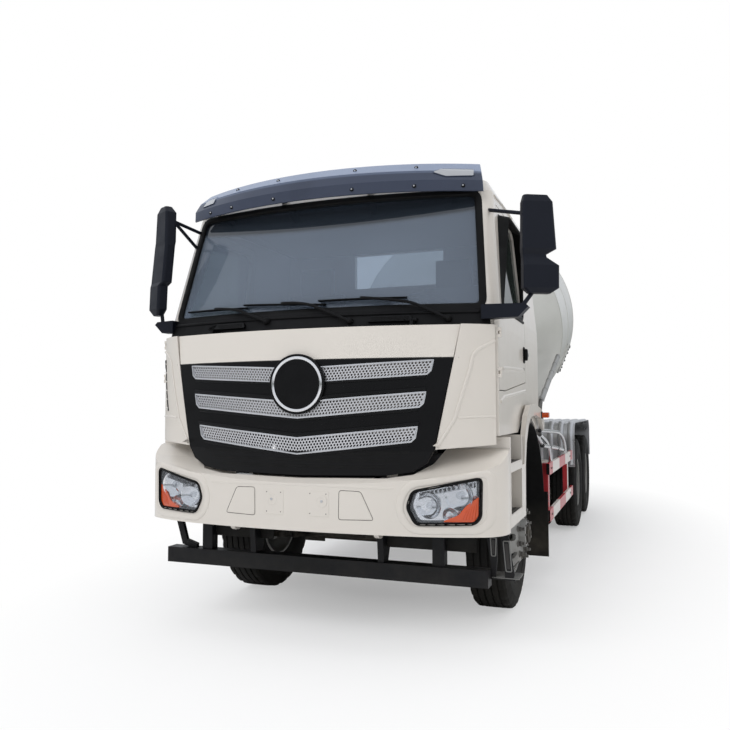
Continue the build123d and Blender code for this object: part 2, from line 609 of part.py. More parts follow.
def mirror_head(rows, y):
    """Turned mirror head through rows of height, middle x, width and share of the full depth."""
    sections = []
    for z, x, width, share in rows:
        with BuildSketch(level(z)) as section:
            with Locations((x, y)):
                RectangleRounded(width, MIRROR_DEPTH * share, MIRROR_CORNER, rotation=MIRROR_TURN)
        sections.append(section.sketch)
    loft(sections, ruled=True)


def mirror_arms(head, y, roots, reach):
    """Tubes from a mirror head: the lower one to a base block that reaches outwards, the upper ones to the pillar."""
    low, high = head[0], head[-2]
    inner, tip = CAB_HALF_WIDTH - 90.0, CAB_HALF_WIDTH + reach
    rod((low[1] - 30.0, y, low[0] + 20.0), (tip - 40.0, CAB + 255.0, CAB_WAIST + 100.0), 13.0)
    base = [(inner, CAB_WAIST + 30.0), (tip - 60.0, CAB_WAIST + 32.0), (tip, CAB_WAIST + 92.0),
            (tip - 20.0, CAB_WAIST + 112.0), (inner, CAB_WAIST + 118.0)]
    front_prism(base, 215.0, 288.0)
    for root in roots:
        rod((high[1] - 60.0, y, high[0] - 60.0), root, 12.0)
    cab_upper(-SEAT, mode=Mode.SUBTRACT)
    add(cowl.part, mode=Mode.SUBTRACT)


PILLAR_FOOT = (CAB_HALF_WIDTH - 150.0, CAB + 560.0, CAB_WAIST + 790.0)
PILLAR_BRACE = (CAB_HALF_WIDTH - 130.0, CAB + 530.0, CAB_WAIST + 640.0)
with BuildPart() as mirror_left:
    mirror_head(LEFT_MIRROR, LEFT_MIRROR_Y)
    mirror_arms(LEFT_MIRROR, LEFT_MIRROR_Y, [PILLAR_FOOT], LEFT_BASE_REACH)
save(mirror_left.part, "mirror_left")
with BuildPart() as mirror_right:
    mirror_head(RIGHT_MIRROR, RIGHT_MIRROR_Y)
    mirror_arms(RIGHT_MIRROR, RIGHT_MIRROR_Y, [PILLAR_FOOT, PILLAR_BRACE], RIGHT_BASE_REACH)
save(mirrored(mirror_right.part), "mirror_right")

# Front bumper
BUMPER_PROFILE = (
    # y from CAB, top z
    (-60.0, 985.0), (-50.0, 1000.0), (0.0, 1036.0), (108.0, 1090.0), (194.0, 1131.0), (300.0, 1200.0),
    (400.0, 1225.0),
)


def bumper_plan(inset):
    """Bumper outline in plan, drawn in by inset, as a sketch on the ground plane."""
    side, back = BUMPER_HALF_WIDTH - inset, CAB + 335.0
    with BuildSketch() as plan:
        with BuildLine():
            ThreePointArc((-700.0, CAB - 2.0 + inset), (0.0, CAB - BUMPER_BOW + inset),
                (700.0, CAB - 2.0 + inset))
            ThreePointArc((700.0, CAB - 2.0 + inset), (925.0 - inset * 0.2, CAB + 44.0 + inset),
                          (1110.0 - inset * 0.5, CAB + 112.0 + inset * 0.9))
            ThreePointArc((1110.0 - inset * 0.5, CAB + 112.0 + inset * 0.9),
                          (1200.0 - inset * 0.8, CAB + 180.0 + inset * 0.5), (side, CAB + 290.0))
            Line((side, CAB + 290.0), (side, back))
            Line((side, back), (-side, back))
            Line((-side, back), (-side, CAB + 290.0))
            ThreePointArc((-side, CAB + 290.0), (-1200.0 + inset * 0.8, CAB + 180.0 + inset * 0.5),
                          (-1110.0 + inset * 0.5, CAB + 112.0 + inset * 0.9))
            ThreePointArc((-1110.0 + inset * 0.5, CAB + 112.0 + inset * 0.9),
                          (-925.0 + inset * 0.2, CAB + 44.0 + inset), (-700.0, CAB - 2.0 + inset))
        make_face()
    return plan.sketch


def bumper_body(inset, drop, mode=Mode.ADD):
    """Bumper volume up to its sloping top, drawn in by inset and lowered by drop."""
    extrude(Plane.XY.offset(BUMPER_BOTTOM) * bumper_plan(inset), amount=1240.0 - BUMPER_BOTTOM, mode=mode)
    above = [(y, z - drop) for y, z in BUMPER_PROFILE] + [(400.0, 1400.0), (-60.0, 1400.0)]
    side_prism(above, -1300.0, 1300.0, mode=Mode.SUBTRACT)


HEADLAMP = (
    # x, z
    (1112.0, 1049.0), (730.0, 971.0), (698.0, 879.0), (748.0, 783.0), (1074.0, 789.0), (1106.0, 826.0),
)
LAMP_RECESS = 8.0
STAY_X = 386.0
with BuildPart() as bumper_core:
    bumper_body(BUMPER_WALL, BUMPER_WALL)
    with BuildSketch(level(BUMPER_BOTTOM)) as core_back:
        with Locations((0.0, CAB + 350.0)):
            Rectangle(2 * (BUMPER_HALF_WIDTH - BUMPER_WALL), 120.0)
    extrude(core_back.sketch, amount=460.0)
with BuildPart() as front_bumper:
    bumper_body(0.0, 0.0)
    add(bumper_core.part, mode=Mode.SUBTRACT)
    for sign in (1, -1):
        lamp = [(sign * x, z) for x, z in HEADLAMP]
        front_prism(lamp, -60.0, 240.0, grow=SEAT, mode=Mode.SUBTRACT)
        x = sign * STAY_X
        block((x - 14.0, x + 14.0), (CAB - 15.0, CAB_TILT_Y - 50.0 - SEAT), (722.0, 782.0))
        slot = sign * (CAB_ARM_X + CAB_ARM_THICK / 2)
        block((slot - 25.0, slot + 25.0), (CAB + 16.0, CAB + 400.0), (900.0, 1300.0), mode=Mode.SUBTRACT)
    front_prism(both_halves(LID_OUTLINE), -100.0, 400.0, grow=16.0, mode=Mode.SUBTRACT)
save(front_bumper.part, "front_bumper")
with BuildPart() as lamp_limits:
    bumper_body(LAMP_RECESS, 0.0)
with BuildPart() as headlamps:
    for sign in (1, -1):
        front_prism([(sign * x, z) for x, z in HEADLAMP], -60.0, 200.0)
    add(lamp_limits.part, mode=Mode.INTERSECT)
save(headlamps.part, "headlamps")

# Under-run bar below the bumper, on plates from the frame's nose, with a step bracket at its left end
# and a bent stay at its right end
BRACKET_Y = 322.0
BRACKET_FRONT = (
    # x, z
    (1098.0, 672.0), (1140.0, BUMPER_BOTTOM - SEAT), (1158.0, BUMPER_BOTTOM - SEAT), (1160.0, 560.0),
    (1150.0, 436.0), (1116.0, 436.0), (1122.0, 520.0),
)
BRACKET_SIDE = (
    # x, z
    (1180.0, BUMPER_BOTTOM - SEAT), (1228.0, BUMPER_BOTTOM - SEAT), (1240.0, 600.0), (1262.0, 470.0),
    (1250.0, 436.0), (1206.0, 436.0),
    (1196.0, 560.0),
)
BENT_STAY = (
    # x, z
    (-1098.0, BUMPER_BOTTOM - SEAT), (-1052.0, BUMPER_BOTTOM - SEAT), (-1002.0, 548.0), (-918.0, 522.0),
    (-924.0, 480.0), (-1036.0, 514.0),
)
with BuildPart() as underrun_bar:
    block((-BAR_HALF_LENGTH, BAR_HALF_LENGTH), (BAR_FRONT, BAR_FRONT + BAR_DEPTH), (BAR_BOTTOM, BAR_TOP))
    for sign in (1, -1):
        x = sign * (RAIL_OUTER_X + 20.0)
        prism([(BAR_FRONT + 10.0, BAR_TOP - 10.0), (BAR_FRONT + 90.0, BAR_TOP - 10.0),
            (FRAME_FRONT + 260.0, 800.0),
               (FRAME_FRONT + 260.0, 960.0), (FRAME_FRONT + 20.0, 960.0), (FRAME_FRONT + 20.0, 760.0)],
              along(x - 20.0 + SEAT), 40.0 - 2 * SEAT)
        x = sign * 815.0
        block((x - 38.0, x + 38.0), (BAR_FRONT + 20.0, BAR_FRONT + 90.0), (BAR_TOP - 10.0, 750.0))
        block((min(x, sign * 468.0), max(x, sign * 468.0)), (BAR_FRONT + 20.0, BAR_FRONT + 90.0),
            (690.0, 750.0))
    for points in (BRACKET_FRONT, BRACKET_SIDE):
        front_prism(points, BRACKET_Y - 5.0, BRACKET_Y + 5.0)
    foot = BAR_HALF_LENGTH + 70.0
    block((foot - 75.0, foot + 75.0), (CAB + BRACKET_Y - 5.0, CAB + BRACKET_Y + 150.0), (434.0, 444.0))
    front_prism(BENT_STAY, 280.0, 310.0)
save(underrun_bar.part, "underrun_bar")

# Ladder frame with cross members, cab tilt tube and rear cab rest
with BuildPart() as frame_rails:
    for sign in (1, -1):
        outer, web = sign * RAIL_OUTER_X, sign * (RAIL_OUTER_X - RAIL_WALL)
        lip = sign * (RAIL_OUTER_X - RAIL_FLANGE)
        channel = [(outer, FRAME_BOTTOM), (outer, FRAME_TOP), (lip, FRAME_TOP),
            (lip, FRAME_TOP - RAIL_WALL),
                   (web, FRAME_TOP - RAIL_WALL), (web, FRAME_BOTTOM + RAIL_WALL),
                   (lip, FRAME_BOTTOM + RAIL_WALL),
                   (lip, FRAME_BOTTOM)]
        prism(channel, across(FRAME_FRONT), -(FRAME_REAR - FRAME_FRONT))
        x = sign * 400.0
        prism([(CAB_TILT_Y - 50.0, CAB_TILT_Z - 50.0), (CAB_TILT_Y + 90.0, CAB_TILT_Z - 50.0),
               (FRAME_FRONT + 160.0, FRAME_BOTTOM + 10.0), (FRAME_FRONT + 160.0, FRAME_BOTTOM + 160.0),
               (FRAME_FRONT + 5.0, FRAME_BOTTOM + 160.0), (CAB_TILT_Y - 50.0, CAB_TILT_Z + 50.0)],
              along(min(x, x + sign * 29.0)), 29.0)
    rod((-530.0, CAB_TILT_Y, CAB_TILT_Z), (530.0, CAB_TILT_Y, CAB_TILT_Z), CAB_TILT_TUBE)
    for y in (FRAME_FRONT + 60.0, FRONT_AXLE + 1450.0, FRONT_AXLE + 2400.0, BOGIE - 1100.0, BOGIE,
        FRAME_REAR - 200.0):
        rod((-(RAIL_OUTER_X - 5.0), y, FRAME_TOP - 80.0), (RAIL_OUTER_X - 5.0, y, FRAME_TOP - 80.0),
            CROSS_MEMBER_RADIUS)
    block((-RAIL_OUTER_X + 5.0, RAIL_OUTER_X - 5.0), (FRAME_REAR - 20.0, FRAME_REAR),
        (FRAME_BOTTOM, FRAME_TOP))
    for sign in (1, -1):
        x = sign * 400.0
        block((x - 30.0, x + 30.0), (CAB_BACK - 140.0, CAB_BACK - 60.0),
            (FRAME_TOP - 5.0, CAB_FLOOR - SEAT))
save(frame_rails.part, "frame_rails")

# Towing jaw on the rear cross member, bored for a drawbar pin
with BuildPart() as tow_jaw:
    block((-90.0, 90.0), (FRAME_REAR + SEAT, FRAME_REAR + 16.0), (TOW_JAW_Z - 20.0, TOW_JAW_TOP + 20.0))
    for z in (TOW_JAW_Z, TOW_JAW_TOP - TOW_JAW_PLATE):
        block((-60.0, 60.0), (FRAME_REAR + 10.0, FRAME_REAR + TOW_JAW_REACH + 40.0), (z, z + TOW_JAW_PLATE))
    rod((0.0, FRAME_REAR + TOW_JAW_REACH, TOW_JAW_Z - 10.0),
        (0.0, FRAME_REAR + TOW_JAW_REACH, TOW_JAW_TOP + 10.0),
        TOW_BORE_RADIUS, mode=Mode.SUBTRACT)
save(tow_jaw.part, "tow_jaw")

# Engine, radiator, gearbox and propeller shaft as plain masses
with BuildPart() as powertrain:
    block((-330.0, 330.0), (FRONT_AXLE - 800.0, FRONT_AXLE + 480.0), (700.0, 1240.0))
    block((-330.0, 330.0), (FRONT_AXLE - 985.0, FRONT_AXLE - 880.0), (700.0, 1250.0))
    block((-120.0, 120.0), (FRONT_AXLE - 885.0, FRONT_AXLE - 795.0), (900.0, 1100.0))
    block((-190.0, 190.0), (FRONT_AXLE + 475.0, FRONT_AXLE + 1300.0), (740.0, 1060.0))
    rod((0.0, FRONT_AXLE + 1295.0, 840.0), (0.0, REAR_AXLE_1 - 310.0, 600.0), 55.0)
    rod((0.0, REAR_AXLE_1 - 345.0, 600.0), (0.0, REAR_AXLE_1 - 290.0 - SEAT, 600.0), 80.0)
    for sign in (1, -1):
        x = sign * 330.0
        block((min(x, sign * (RAIL_OUTER_X - RAIL_WALL - SEAT)),
            max(x, sign * (RAIL_OUTER_X - RAIL_WALL - SEAT))),
              (FRONT_AXLE - 500.0, FRONT_AXLE - 400.0), (900.0, 980.0))
save(powertrain.part, "powertrain")


# Wheels. Rim sections are rows of distance outwards from the rim's middle and radius
def wheel_face(x, y):
    """Plane through a wheel's axis, with sketch axes X and Z and its origin at the wheel's middle."""
    return Plane(origin=(x, y, AXLE_HEIGHT), x_dir=(1, 0, 0), z_dir=(0, -1, 0))


def turned(points, x, y, mode=Mode.ADD):
    """Polygon of distance along X and radius, turned about the wheel's axis."""
    with BuildSketch(wheel_face(x, y)) as face:
        Polygon(*points, align=None)
    revolve(face.sketch, axis=Axis((x, y, AXLE_HEIGHT), (1, 0, 0)), mode=mode)


def tyre(x, y):
    """Tyre with bulged side walls and rounded shoulders, without its tread."""
    half = TYRE_WIDTH / 2
    bead, shoulder, crown = half - 30.0, half - 12.0, half - 34.0
    with BuildSketch(wheel_face(x, y)) as face:
        with BuildLine():
            Line((-bead, RIM_RADIUS), (bead, RIM_RADIUS))
            ThreePointArc((bead, RIM_RADIUS), (half, RIM_RADIUS + 120.0), (shoulder, TYRE_RADIUS - 40.0))
            ThreePointArc((shoulder, TYRE_RADIUS - 40.0), (shoulder - 7.0, TYRE_RADIUS - 12.0),
                          (crown, TYRE_RADIUS - 2.0))
            Line((crown, TYRE_RADIUS - 2.0), (crown * 0.5, TYRE_RADIUS))
            Line((crown * 0.5, TYRE_RADIUS), (-crown * 0.5, TYRE_RADIUS))
            Line((-crown * 0.5, TYRE_RADIUS), (-crown, TYRE_RADIUS - 2.0))
            ThreePointArc((-crown, TYRE_RADIUS - 2.0), (-shoulder + 7.0, TYRE_RADIUS - 12.0),
                          (-shoulder, TYRE_RADIUS - 40.0))
            ThreePointArc((-shoulder, TYRE_RADIUS - 40.0), (-half, RIM_RADIUS + 120.0), (-bead, RIM_RADIUS))
        make_face()
    revolve(face.sketch, axis=Axis((x, y, AXLE_HEIGHT), (1, 0, 0)))


DISC_OFFSET = 170.0
HUB_BORE = SPINDLE_RADIUS + PIN_FIT


def rim(x, y, out):
    """Rim barrel with its dished disc, which faces along X by the sign of out."""
    barrel, seat = RIM_WIDTH / 2 + 3.0, RIM_RADIUS - SEAT
    turned([(-barrel, seat - 18.0), (barrel, seat - 18.0), (barrel, seat), (-barrel, seat)], x, y)
    disc = [(70.0, seat - 10.0), (100.0, seat - 10.0), (DISC_OFFSET - 8.0, 205.0), (DISC_OFFSET, 180.0),
            (DISC_OFFSET, 100.0), (DISC_OFFSET - DISC_WALL, 100.0), (DISC_OFFSET - DISC_WALL, 175.0),
            (DISC_OFFSET - 24.0, 196.0)]
    turned([(out * u, r) for u, r in disc], x, y)
    with BuildSketch(Plane(origin=(x + out * 60.0, y, AXLE_HEIGHT), x_dir=(0, 1, 0),
        z_dir=(out, 0, 0))) as holes:
        with PolarLocations(HAND_HOLE_CIRCLE, HAND_HOLES):
            Circle(HAND_HOLE_RADIUS)
    extrude(holes.sketch, amount=120.0, mode=Mode.SUBTRACT)


FRONT_HUB = (
    # distance outwards from the wheel's middle, radius
    (-60.0, HUB_BORE), (-60.0, 170.0), (40.0, 170.0), (60.0, 112.0), (DISC_OFFSET, 112.0),
    (DISC_OFFSET, 104.0),
    (DISC_OFFSET + 40.0, 96.0), (DISC_OFFSET + 44.0, 84.0), (DISC_OFFSET + 44.0, 0.0), (150.0, 0.0),
    (150.0, HUB_BORE),
)
with BuildPart() as tyre_front:
    tyre(FRONT_TRACK_HALF, FRONT_AXLE)
save(tyre_front.part, "tyre_front_left")
save(mirrored(tyre_front.part), "tyre_front_right")
with BuildPart() as rim_front:
    rim(FRONT_TRACK_HALF, FRONT_AXLE, 1)
    turned(FRONT_HUB, FRONT_TRACK_HALF, FRONT_AXLE)
save(rim_front.part, "rim_front_left")
save(mirrored(rim_front.part), "rim_front_right")

REAR_HUB = (
    # x, radius
    (620.0, HUB_BORE), (620.0, 205.0), (760.0, 205.0), (775.0, 125.0), (1080.0, 125.0), (1090.0, 110.0),
    (1150.0, 100.0), (1158.0, 84.0), (1158.0, 0.0), (1110.0, 0.0), (1110.0, HUB_BORE),
)
REAR_AXLES = (("mid", REAR_AXLE_1), ("rear", REAR_AXLE_2))
for place, y in REAR_AXLES:
    with BuildPart() as tyre_pair:
        tyre(REAR_OUTER_X, y)
        tyre(REAR_INNER_X, y)
    save(tyre_pair.part, f"tyre_{place}_left")
    save(mirrored(tyre_pair.part), f"tyre_{place}_right")
    with BuildPart() as rim_pair:
        rim(REAR_OUTER_X, y, -1)
        rim(REAR_INNER_X, y, 1)
        turned(REAR_HUB, 0.0, y)
    save(rim_pair.part, f"rim_{place}_left")
    save(mirrored(rim_pair.part), f"rim_{place}_right")

# Front axle beam with its leaf springs, and steering knuckles on upright king pins
KING_PIN_X = 830.0
KING_PIN_RADIUS = 26.0
EYE_RADIUS = 58.0
EYE_HALF = 90.0
SPRING_X = 388.0
LEAF_HALF_WIDTH = 42.0


def leaf_spring(x, y, half_length, arch, top, leaves, leaf):
    """Pack of leaves, longest on top, each a shallow arc in side view."""
    with BuildSketch(along(x - LEAF_HALF_WIDTH)) as pack:
        with BuildLine():
            ThreePointArc((y - half_length, top), (y, top - arch), (y + half_length, top))
            Line((y + half_length, top), (y + half_length, top - leaf))
            Line((y + half_length, top - leaf), (y + half_length * 0.3, top - arch - leaf * leaves))
            Line((y + half_length * 0.3, top - arch - leaf * leaves),
                (y - half_length * 0.3, top - arch - leaf * leaves))
            Line((y - half_length * 0.3, top - arch - leaf * leaves), (y - half_length, top - leaf))
            Line((y - half_length, top - leaf), (y - half_length, top))
        make_face()
    extrude(pack.sketch, amount=2 * LEAF_HALF_WIDTH)


with BuildPart() as front_axle:
    block((-460.0, 460.0), (FRONT_AXLE - 45.0, FRONT_AXLE + 45.0), (430.0, 550.0))
    for sign in (1, -1):
        prism([(sign * 455.0, 430.0), (sign * 455.0, 550.0), (sign * 800.0, 600.0), (sign * 800.0, 480.0)],
              across(FRONT_AXLE - 45.0), -90.0)
        rod((sign * KING_PIN_X, FRONT_AXLE, AXLE_HEIGHT - EYE_HALF),
            (sign * KING_PIN_X, FRONT_AXLE, AXLE_HEIGHT + EYE_HALF),
            EYE_RADIUS)
        leaf_spring(sign * SPRING_X, FRONT_AXLE, 780.0, 90.0, 700.0, 4, 18.0)
        block((sign * SPRING_X - 45.0, sign * SPRING_X + 45.0), (FRONT_AXLE - 70.0, FRONT_AXLE + 70.0),
            (540.0, 560.0))
        for end in (-1, 1):
            y = FRONT_AXLE + end * 760.0
            block((sign * SPRING_X - 42.0, sign * SPRING_X + 42.0), (y - 35.0, y + 35.0),
                (670.0, FRAME_BOTTOM - SEAT))
    for sign in (1, -1):
        rod((sign * KING_PIN_X, FRONT_AXLE, 400.0), (sign * KING_PIN_X, FRONT_AXLE, 700.0),
            KING_PIN_RADIUS + PIN_FIT,
            mode=Mode.SUBTRACT)
save(front_axle.part, "front_axle")

ARM_Y = FRONT_AXLE + 150.0
ARM_X = KING_PIN_X - 40.0
TIE_ROD_TOP = 420.0
with BuildPart() as knuckle:
    low, high = AXLE_HEIGHT - EYE_HALF - 5.0, AXLE_HEIGHT + EYE_HALF + 5.0
    rod((KING_PIN_X, FRONT_AXLE, low - 45.0), (KING_PIN_X, FRONT_AXLE, high + 45.0), KING_PIN_RADIUS)
    rod((KING_PIN_X, FRONT_AXLE, high), (KING_PIN_X, FRONT_AXLE, high + 45.0), EYE_RADIUS)
    rod((KING_PIN_X, FRONT_AXLE, low - 45.0), (KING_PIN_X, FRONT_AXLE, low), EYE_RADIUS)
    block((KING_PIN_X, KING_PIN_X + 66.0), (FRONT_AXLE - 50.0, FRONT_AXLE + 50.0), (high, high + 45.0))
    block((KING_PIN_X, KING_PIN_X + 66.0), (FRONT_AXLE - 50.0, FRONT_AXLE + 50.0), (low - 45.0, low))
    block((KING_PIN_X + EYE_RADIUS + 6.0, KING_PIN_X + EYE_RADIUS + 14.0),
        (FRONT_AXLE - 50.0, FRONT_AXLE + 50.0),
          (low - 45.0, high + 45.0))
    rod((KING_PIN_X + EYE_RADIUS + 6.0, FRONT_AXLE, AXLE_HEIGHT),
        (FRONT_TRACK_HALF + 148.0, FRONT_AXLE, AXLE_HEIGHT),
        SPINDLE_RADIUS)
    prism([(KING_PIN_X - 30.0, FRONT_AXLE), (KING_PIN_X + 30.0, FRONT_AXLE), (ARM_X + 26.0, ARM_Y + 26.0),
           (ARM_X - 26.0, ARM_Y + 26.0)], level(TIE_ROD_TOP + SEAT), low - TIE_ROD_TOP - 10.0)
    rod((KING_PIN_X, FRONT_AXLE, TIE_ROD_TOP - 20.0 + SEAT), (KING_PIN_X, FRONT_AXLE, low), 40.0)
save_pair(knuckle.part, "knuckle")
with BuildPart() as tie_rod:
    rod((-ARM_X, ARM_Y, TIE_ROD_TOP - 26.0), (ARM_X, ARM_Y, TIE_ROD_TOP - 26.0), 20.0)
    for sign in (1, -1):
        rod((sign * ARM_X, ARM_Y, TIE_ROD_TOP - 50.0), (sign * ARM_X, ARM_Y, TIE_ROD_TOP), 32.0)
save(tie_rod.part, "tie_rod")

# Tandem rear axles with their springs and torque rods
with BuildPart() as rear_axles:
    for place, y in REAR_AXLES:
        rod((-600.0, y, AXLE_HEIGHT), (600.0, y, AXLE_HEIGHT), 75.0)
        rod((-1105.0, y, AXLE_HEIGHT), (1105.0, y, AXLE_HEIGHT), SPINDLE_RADIUS)
        with Locations((0.0, y, AXLE_HEIGHT)):
            Sphere(205.0)
        rod((0.0, y - 290.0, AXLE_HEIGHT + 60.0), (0.0, y, AXLE_HEIGHT + 60.0), 95.0)
    for sign in (1, -1):
        with BuildSketch(along(sign * 500.0 - LEAF_HALF_WIDTH)) as bogie_pack:
            with BuildLine():
                ThreePointArc((REAR_AXLE_1 - 60.0, 640.0), (BOGIE, 830.0), (REAR_AXLE_2 + 60.0, 640.0))
                Line((REAR_AXLE_2 + 60.0, 640.0), (REAR_AXLE_2 + 60.0, 600.0))
                ThreePointArc((REAR_AXLE_2 + 60.0, 600.0), (BOGIE, 660.0), (REAR_AXLE_1 - 60.0, 600.0))
                Line((REAR_AXLE_1 - 60.0, 600.0), (REAR_AXLE_1 - 60.0, 640.0))
            make_face()
        extrude(bogie_pack.sketch, amount=2 * LEAF_HALF_WIDTH)
        rod((sign * 300.0, BOGIE, 560.0), (sign * 580.0, BOGIE, 560.0), 70.0)
        block((sign * 500.0 - 50.0, sign * 500.0 + 50.0), (BOGIE - 110.0, BOGIE + 110.0), (560.0, 700.0))
        rod((sign * 340.0, REAR_AXLE_1, 470.0), (sign * 340.0, REAR_AXLE_2, 470.0), 28.0)
        prism([(BOGIE - 60.0, 500.0), (BOGIE + 60.0, 500.0), (BOGIE + 160.0, FRAME_BOTTOM - SEAT),
               (BOGIE - 160.0, FRAME_BOTTOM - SEAT)], along(sign * 380.0 - 30.0), 60.0)
        for y in (REAR_AXLE_1, REAR_AXLE_2):
            block((sign * 500.0 - 50.0, sign * 500.0 + 50.0), (y - 60.0, y + 60.0), (AXLE_HEIGHT, 625.0))
            block((sign * 340.0 - 30.0, sign * 340.0 + 30.0), (y - 30.0, y + 30.0), (440.0, AXLE_HEIGHT))
save(rear_axles.part, "rear_axles")

# Front fenders with the two-step well ahead of each front wheel
FENDER_X = 1240.0
FENDER_SKIN = 34.0
STEP_WELL_X = 960.0
FENDER_OUTER = (
    # y from CAB, z
    (885.0, 733.0), (905.0, 1080.0), (957.0, 1262.0), (1060.0, 1400.0), (1213.0, 1476.0),
    (1520.0, 1486.0), (1850.0, 1446.0), (2020.0, 1330.0), (1972.0, 1275.0), (1830.0, 1372.0),
    (1510.0, 1405.0),
    (1262.0, 1392.0), (1125.0, 1330.0), (1022.0, 1215.0), (968.0, 1070.0), (946.0, 733.0),
)
with BuildPart() as fender:
    side_prism(FENDER_OUTER, FENDER_X - FENDER_SKIN, FENDER_X)
    block((STEP_WELL_X - 30.0, FENDER_X), (CAB + 342.0, CAB + 815.0), (733.0, CAB_FLOOR - 10.0))
    block((FENDER_X - FENDER_SKIN, FENDER_X), (CAB + 800.0, CAB + 905.0), (733.0, 1080.0))
    block((STEP_WELL_X, FENDER_X + 1.0), (CAB + 372.0, CAB + 790.0), (1112.0, 1300.0), mode=Mode.SUBTRACT)
    block((STEP_WELL_X, FENDER_X + 1.0), (CAB + 372.0, CAB + 790.0), (800.0, 1064.0), mode=Mode.SUBTRACT)
    block((RAIL_OUTER_X + SEAT, STEP_WELL_X - 20.0), (CAB + 560.0, CAB + 620.0), (900.0, 960.0))
with BuildPart() as front_fenders:
    add(fender.part)
    add(mirrored(fender.part))
save(front_fenders.part, "front_fenders")

# Wheel-arch liners and mudflaps behind the front wheels
LINER_RADIUS = 800.0
LINER_WALL = 12.0
FLAP_BOTTOM = 225.0
with BuildPart() as mudflap:
    with BuildSketch(along(690.0)) as liner:
        with Locations((FRONT_AXLE, AXLE_HEIGHT)):
            Circle(LINER_RADIUS + LINER_WALL)
            Circle(LINER_RADIUS, mode=Mode.SUBTRACT)
        with Locations((FRONT_AXLE + 600.0, AXLE_HEIGHT + 600.0)):
            Rectangle(2200.0, 900.0, mode=Mode.INTERSECT)
    extrude(liner.sketch, amount=FENDER_X - FENDER_SKIN - 690.0)
    block((800.0, 1236.0), (FRONT_AXLE + LINER_RADIUS - 12.0, FRONT_AXLE + LINER_RADIUS),
        (FLAP_BOTTOM, 760.0))
    block((RAIL_OUTER_X + SEAT, 700.0), (FRONT_AXLE + 700.0, FRONT_AXLE + 760.0), (790.0, 850.0))
with BuildPart() as mudflaps:
    add(mudflap.part)
    add(mirrored(mudflap.part))
save(mudflaps.part, "mudflaps")

# Side guards: two rails on two posts, carried by arms from the frame
GUARD_X = 1240.0
GUARD_FRONT = FRONT_AXLE + 900.0
GUARD_BACK = REAR_AXLE_1 - 950.0
with BuildPart() as guard:
    for z in (543.0, 937.0):
        block((GUARD_X - 25.0, GUARD_X), (GUARD_FRONT, GUARD_BACK), (z - 50.0, z + 50.0))
    for y in (GUARD_FRONT + 150.0, GUARD_BACK - 300.0):
        block((GUARD_X - 75.0, GUARD_X - 25.0), (y - 40.0, y + 40.0), (500.0, 980.0))
        block((RAIL_OUTER_X + SEAT, GUARD_X - 70.0), (y - 25.0, y + 25.0), (840.0, 890.0))
TUBE_RADIUS = 19.0
TUBE_PATH = (
    # x, y from CAB, z
    (1215.0, 2050.0, 1150.0), (1215.0, 3150.0, 1075.0), (1215.0, 3700.0, 1030.0), (1215.0, 3930.0, 880.0),
)
with BuildPart() as guard_tubes:
    for (x1, y1, z1), (x2, y2, z2) in zip(TUBE_PATH, TUBE_PATH[1:]):
        rod((x1, CAB + y1, z1), (x2, CAB + y2, z2), TUBE_RADIUS)
    for x, y, z in TUBE_PATH[1:-1]:
        with Locations((x, CAB + y, z)):
            Sphere(TUBE_RADIUS)
    rod((1215.0, CAB + 2100.0, 1147.0), (FENDER_X - FENDER_SKIN - 20.0, CAB + 1900.0, 1250.0),
        TUBE_RADIUS - 4.0)
with BuildPart() as side_guards:
    add(guard.part)
    add(guard_tubes.part)
    add(mirrored(guard_tubes.part))
    add(mirrored(guard.part))
save(side_guards.part, "side_guards")

# Fuel tank on the right, battery box and air tanks on the left
with BuildPart() as chassis_tanks:
    with BuildSketch(across(CAB + 2600.0)) as tank_face:
        with Locations((-800.0, 700.0)):
            RectangleRounded(600.0, 580.0, 90.0)
    extrude(tank_face.sketch, amount=-1300.0)
    for y in (CAB + 2900.0, CAB + 3600.0):
        block((-520.0, -RAIL_OUTER_X - SEAT), (y - 35.0, y + 35.0), (800.0, 960.0))
    block((520.0, 1000.0), (CAB + 2520.0, CAB + 3150.0), (560.0, 980.0))
    block((RAIL_OUTER_X + SEAT, 540.0), (CAB + 2600.0, CAB + 2680.0), (840.0, 940.0))
    for z in (660.0, 900.0):
        rod((760.0, CAB + 3230.0, z), (760.0, CAB + 4050.0, z), 105.0)
    block((740.0, 780.0), (CAB + 3300.0, CAB + 3360.0), (640.0, 920.0))
    block((740.0, 780.0), (CAB + 3900.0, CAB + 3960.0), (640.0, 920.0))
    for y in (CAB + 3330.0, CAB + 3930.0):
        block((RAIL_OUTER_X + SEAT, 700.0), (y - 30.0, y + 30.0), (870.0, 930.0))
save(chassis_tanks.part, "chassis_tanks")

# Rear fenders over the tandem wheels, with ribs across their sheet
REAR_FENDER_FRONT = REAR_AXLE_1 - 635.0
REAR_FENDER_BACK = REAR_AXLE_2 + 560.0
REAR_FENDER_TOP = 1290.0
REAR_FENDER_WALL = 8.0
REAR_FENDER_BOTTOM = 775.0
REAR_FENDER_ROUND = 190.0


def fender_side(inset, bottom):
    """Side view of the rear fender, drawn in by inset, down to a bottom height."""
    front, back, top = REAR_FENDER_FRONT + inset, REAR_FENDER_BACK - inset, REAR_FENDER_TOP - inset
    turn = REAR_FENDER_ROUND - inset
    slant = turn * (1 - sqrt(0.5))
    with BuildSketch(along(640.0)) as outline:
        with BuildLine():
            Line((front, bottom), (front, top - turn))
            ThreePointArc((front, top - turn), (front + slant, top - slant), (front + turn, top))
            Line((front + turn, top), (back - turn, top))
            ThreePointArc((back - turn, top), (back - slant, top - slant), (back, top - turn))
            Line((back, top - turn), (back, bottom))
            Line((back, bottom), (front, bottom))
        make_face()
    return outline.sketch


